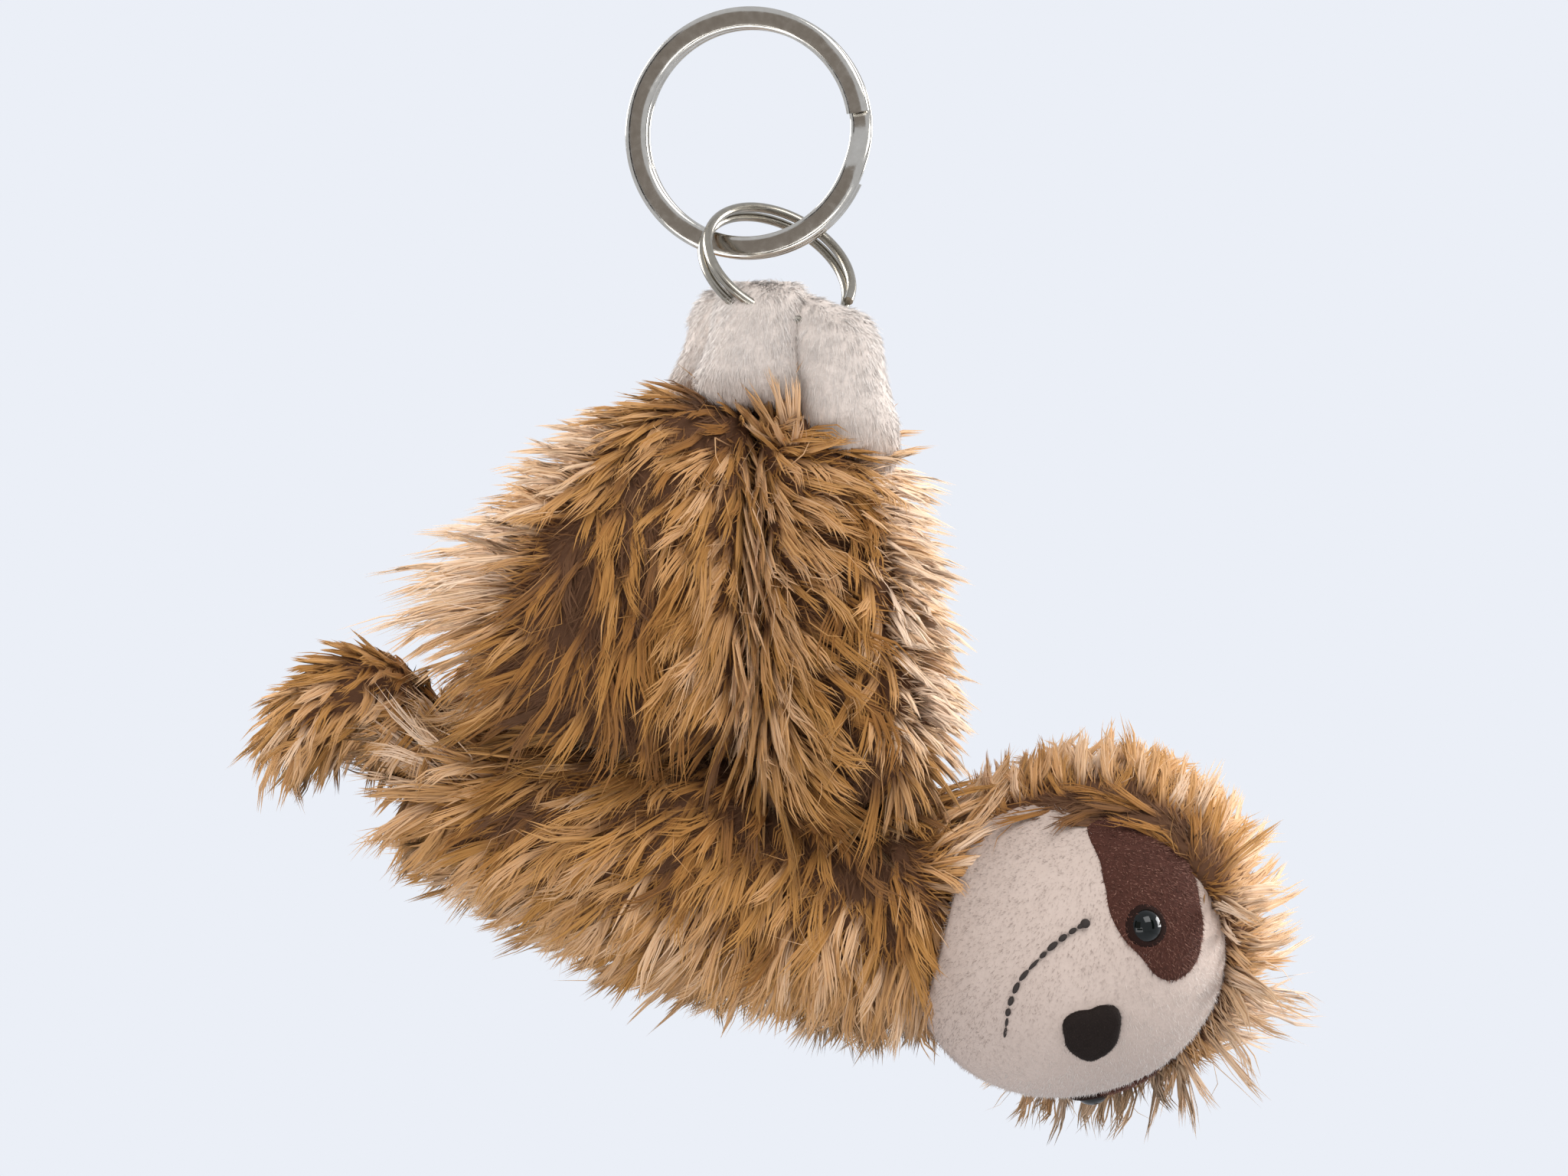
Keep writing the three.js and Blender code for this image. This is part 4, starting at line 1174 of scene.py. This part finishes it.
# Nose: a rounded triangle of near-black felt, stitched down on the muzzle with its point to the mouth.
# Its outline is in the same degrees as the patches'.
NOSE_OUTLINE = (
    (0.4, 0.9), (7.8, 6.7), (10.3, 12.5), (6.7, 17.4), (-4.3, 19.8), (-13.8, 16.6), (-10.8, 7.1), (-5.7, -1),
)
NOSE_MIDDLE = (-2.6, 9.5)
NOSE_RISE = 1.0 * MM
NOSE_HAIR = 0.10 * MM
NOSE_FUZZ = 0.4 * MM
NOSE_HAIRS = 6000

# Felt: matt and nearly black, with short loose fibres that soften its edge.
felt = backing("near-black felt", "#1C1614", "#2B2320", knit=0.3 * MM)
felt_fuzz = pile_cloth("near-black felt fibres", "#1A1412", ("#1F1815", "#2C2420", "#3B322D"),
                       root_reach=0.8, roughness=0.5, sheen=0.3, sheen_tint="#6A5C55")
nose = pad("nose_pad", NOSE_OUTLINE, NOSE_MIDDLE, NOSE_RISE)
nose.data.materials.append(felt)
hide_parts("nose")
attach(nose, "head")
rng = np.random.default_rng(80)
fibres = fuzz("nose_fuzz", nose, NOSE_HAIRS, NOSE_FUZZ, NOSE_HAIR, rng.random, rng)
fibres.data.materials.append(felt_fuzz)
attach(fibres, "head")

# Mouth: one dark cotton thread in uneven back stitches, with a knot at its right end. The stitches
# get finer and sink into the pile towards the other end.
MOUTH = (
    (-41.1, -2), (-37.1, -6.2), (-30.6, -11.4), (-23.8, -15.3), (-15.4, -19.4), (-5.4, -20.5), (1.6, -19.5),
    (9, -18.5),
)
THREAD_HEIGHT = 0.45 * MM
THREAD_SUNK = 0.35 * MM
STITCHES = 12
STITCH_THICKNESS = 0.74 * MM
STITCH_WIDTHS = (0.55, 1.2)
STITCH_LENGTHS = (0.7, 1.05)
KNOT = (1.15 * MM, 1.05 * MM, 1.1 * MM)

# Cotton thread: dark and matt, so that the mouth reads as a drawn line.
cotton = bpy.data.materials.new("dark brown cotton thread")
cotton.use_nodes = True
shader = cotton.node_tree.nodes["Principled BSDF"]
shader.inputs["Base Color"].default_value = linear("#2E2622")
shader.inputs["Roughness"].default_value = 0.85
rng = np.random.default_rng(90)
path = np.array([on_face(*point, THREAD_HEIGHT) for point in MOUTH])
shares = np.linspace(0, 1, len(path))
steps = np.linspace(0, 1, STITCHES + 1)
ends = np.stack([np.interp(steps, shares, path[:, axis]) for axis in range(3)], axis=1)
bpy.ops.object.select_all(action="DESELECT")
bpy.ops.mesh.primitive_uv_sphere_add(segments=12, ring_count=8, radius=0.5)
knot = bpy.context.object
stitches = [knot]
for index, (start, end) in enumerate(zip(ends[:-1], ends[1:])):
    along = Vector(end - start)
    thick = STITCH_THICKNESS * rng.uniform(*STITCH_WIDTHS) * (1 - 0.55 * (index / STITCHES) ** 3)
    length = along.length * rng.uniform(*STITCH_LENGTHS)
    sunk = (Vector(start) - head_middle).normalized() * THREAD_SUNK * (index / STITCHES) ** 2
    stitch = knot.copy()
    stitch.data = knot.data.copy()
    bpy.context.scene.collection.objects.link(stitch)
    stitch.data.transform(Matrix.Translation(Vector(start + end) / 2 - sunk)
                          @ along.to_track_quat("Z", "Y").to_matrix().to_4x4()
                          @ Matrix.Diagonal((thick, thick, length, 1)))
    stitches.append(stitch)
knot.data.transform(Matrix.Translation(ends[0]) @ Matrix.Diagonal((*KNOT, 1)))
mouth = joined(stitches)
mouth.name = "mouth_stitches"
bpy.ops.object.shade_smooth()
mouth.data.materials.append(cotton)
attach(mouth, "head")

# Hidden fillings stay as the CAD has them: a pouch of pellets in the rump, of undyed matt cotton, and
# the washers that hold the eyes' shanks, of smooth milky nylon.
pouch_cotton = backing("undyed cotton of the pellet pouch", "#CFC8B8", "#DED8CA", knit=0.8 * MM)
nylon = bpy.data.materials.new("natural nylon")
nylon.use_nodes = True
shader = nylon.node_tree.nodes["Principled BSDF"]
shader.inputs["Base Color"].default_value = linear("#E6E2D6")
shader.inputs["Roughness"].default_value = 0.4
for name, node in frame["nodes"].items():
    if not node.hide_render:
        node.data.materials.clear()
        node.data.materials.append(nylon if "washer" in name else pouch_cotton)
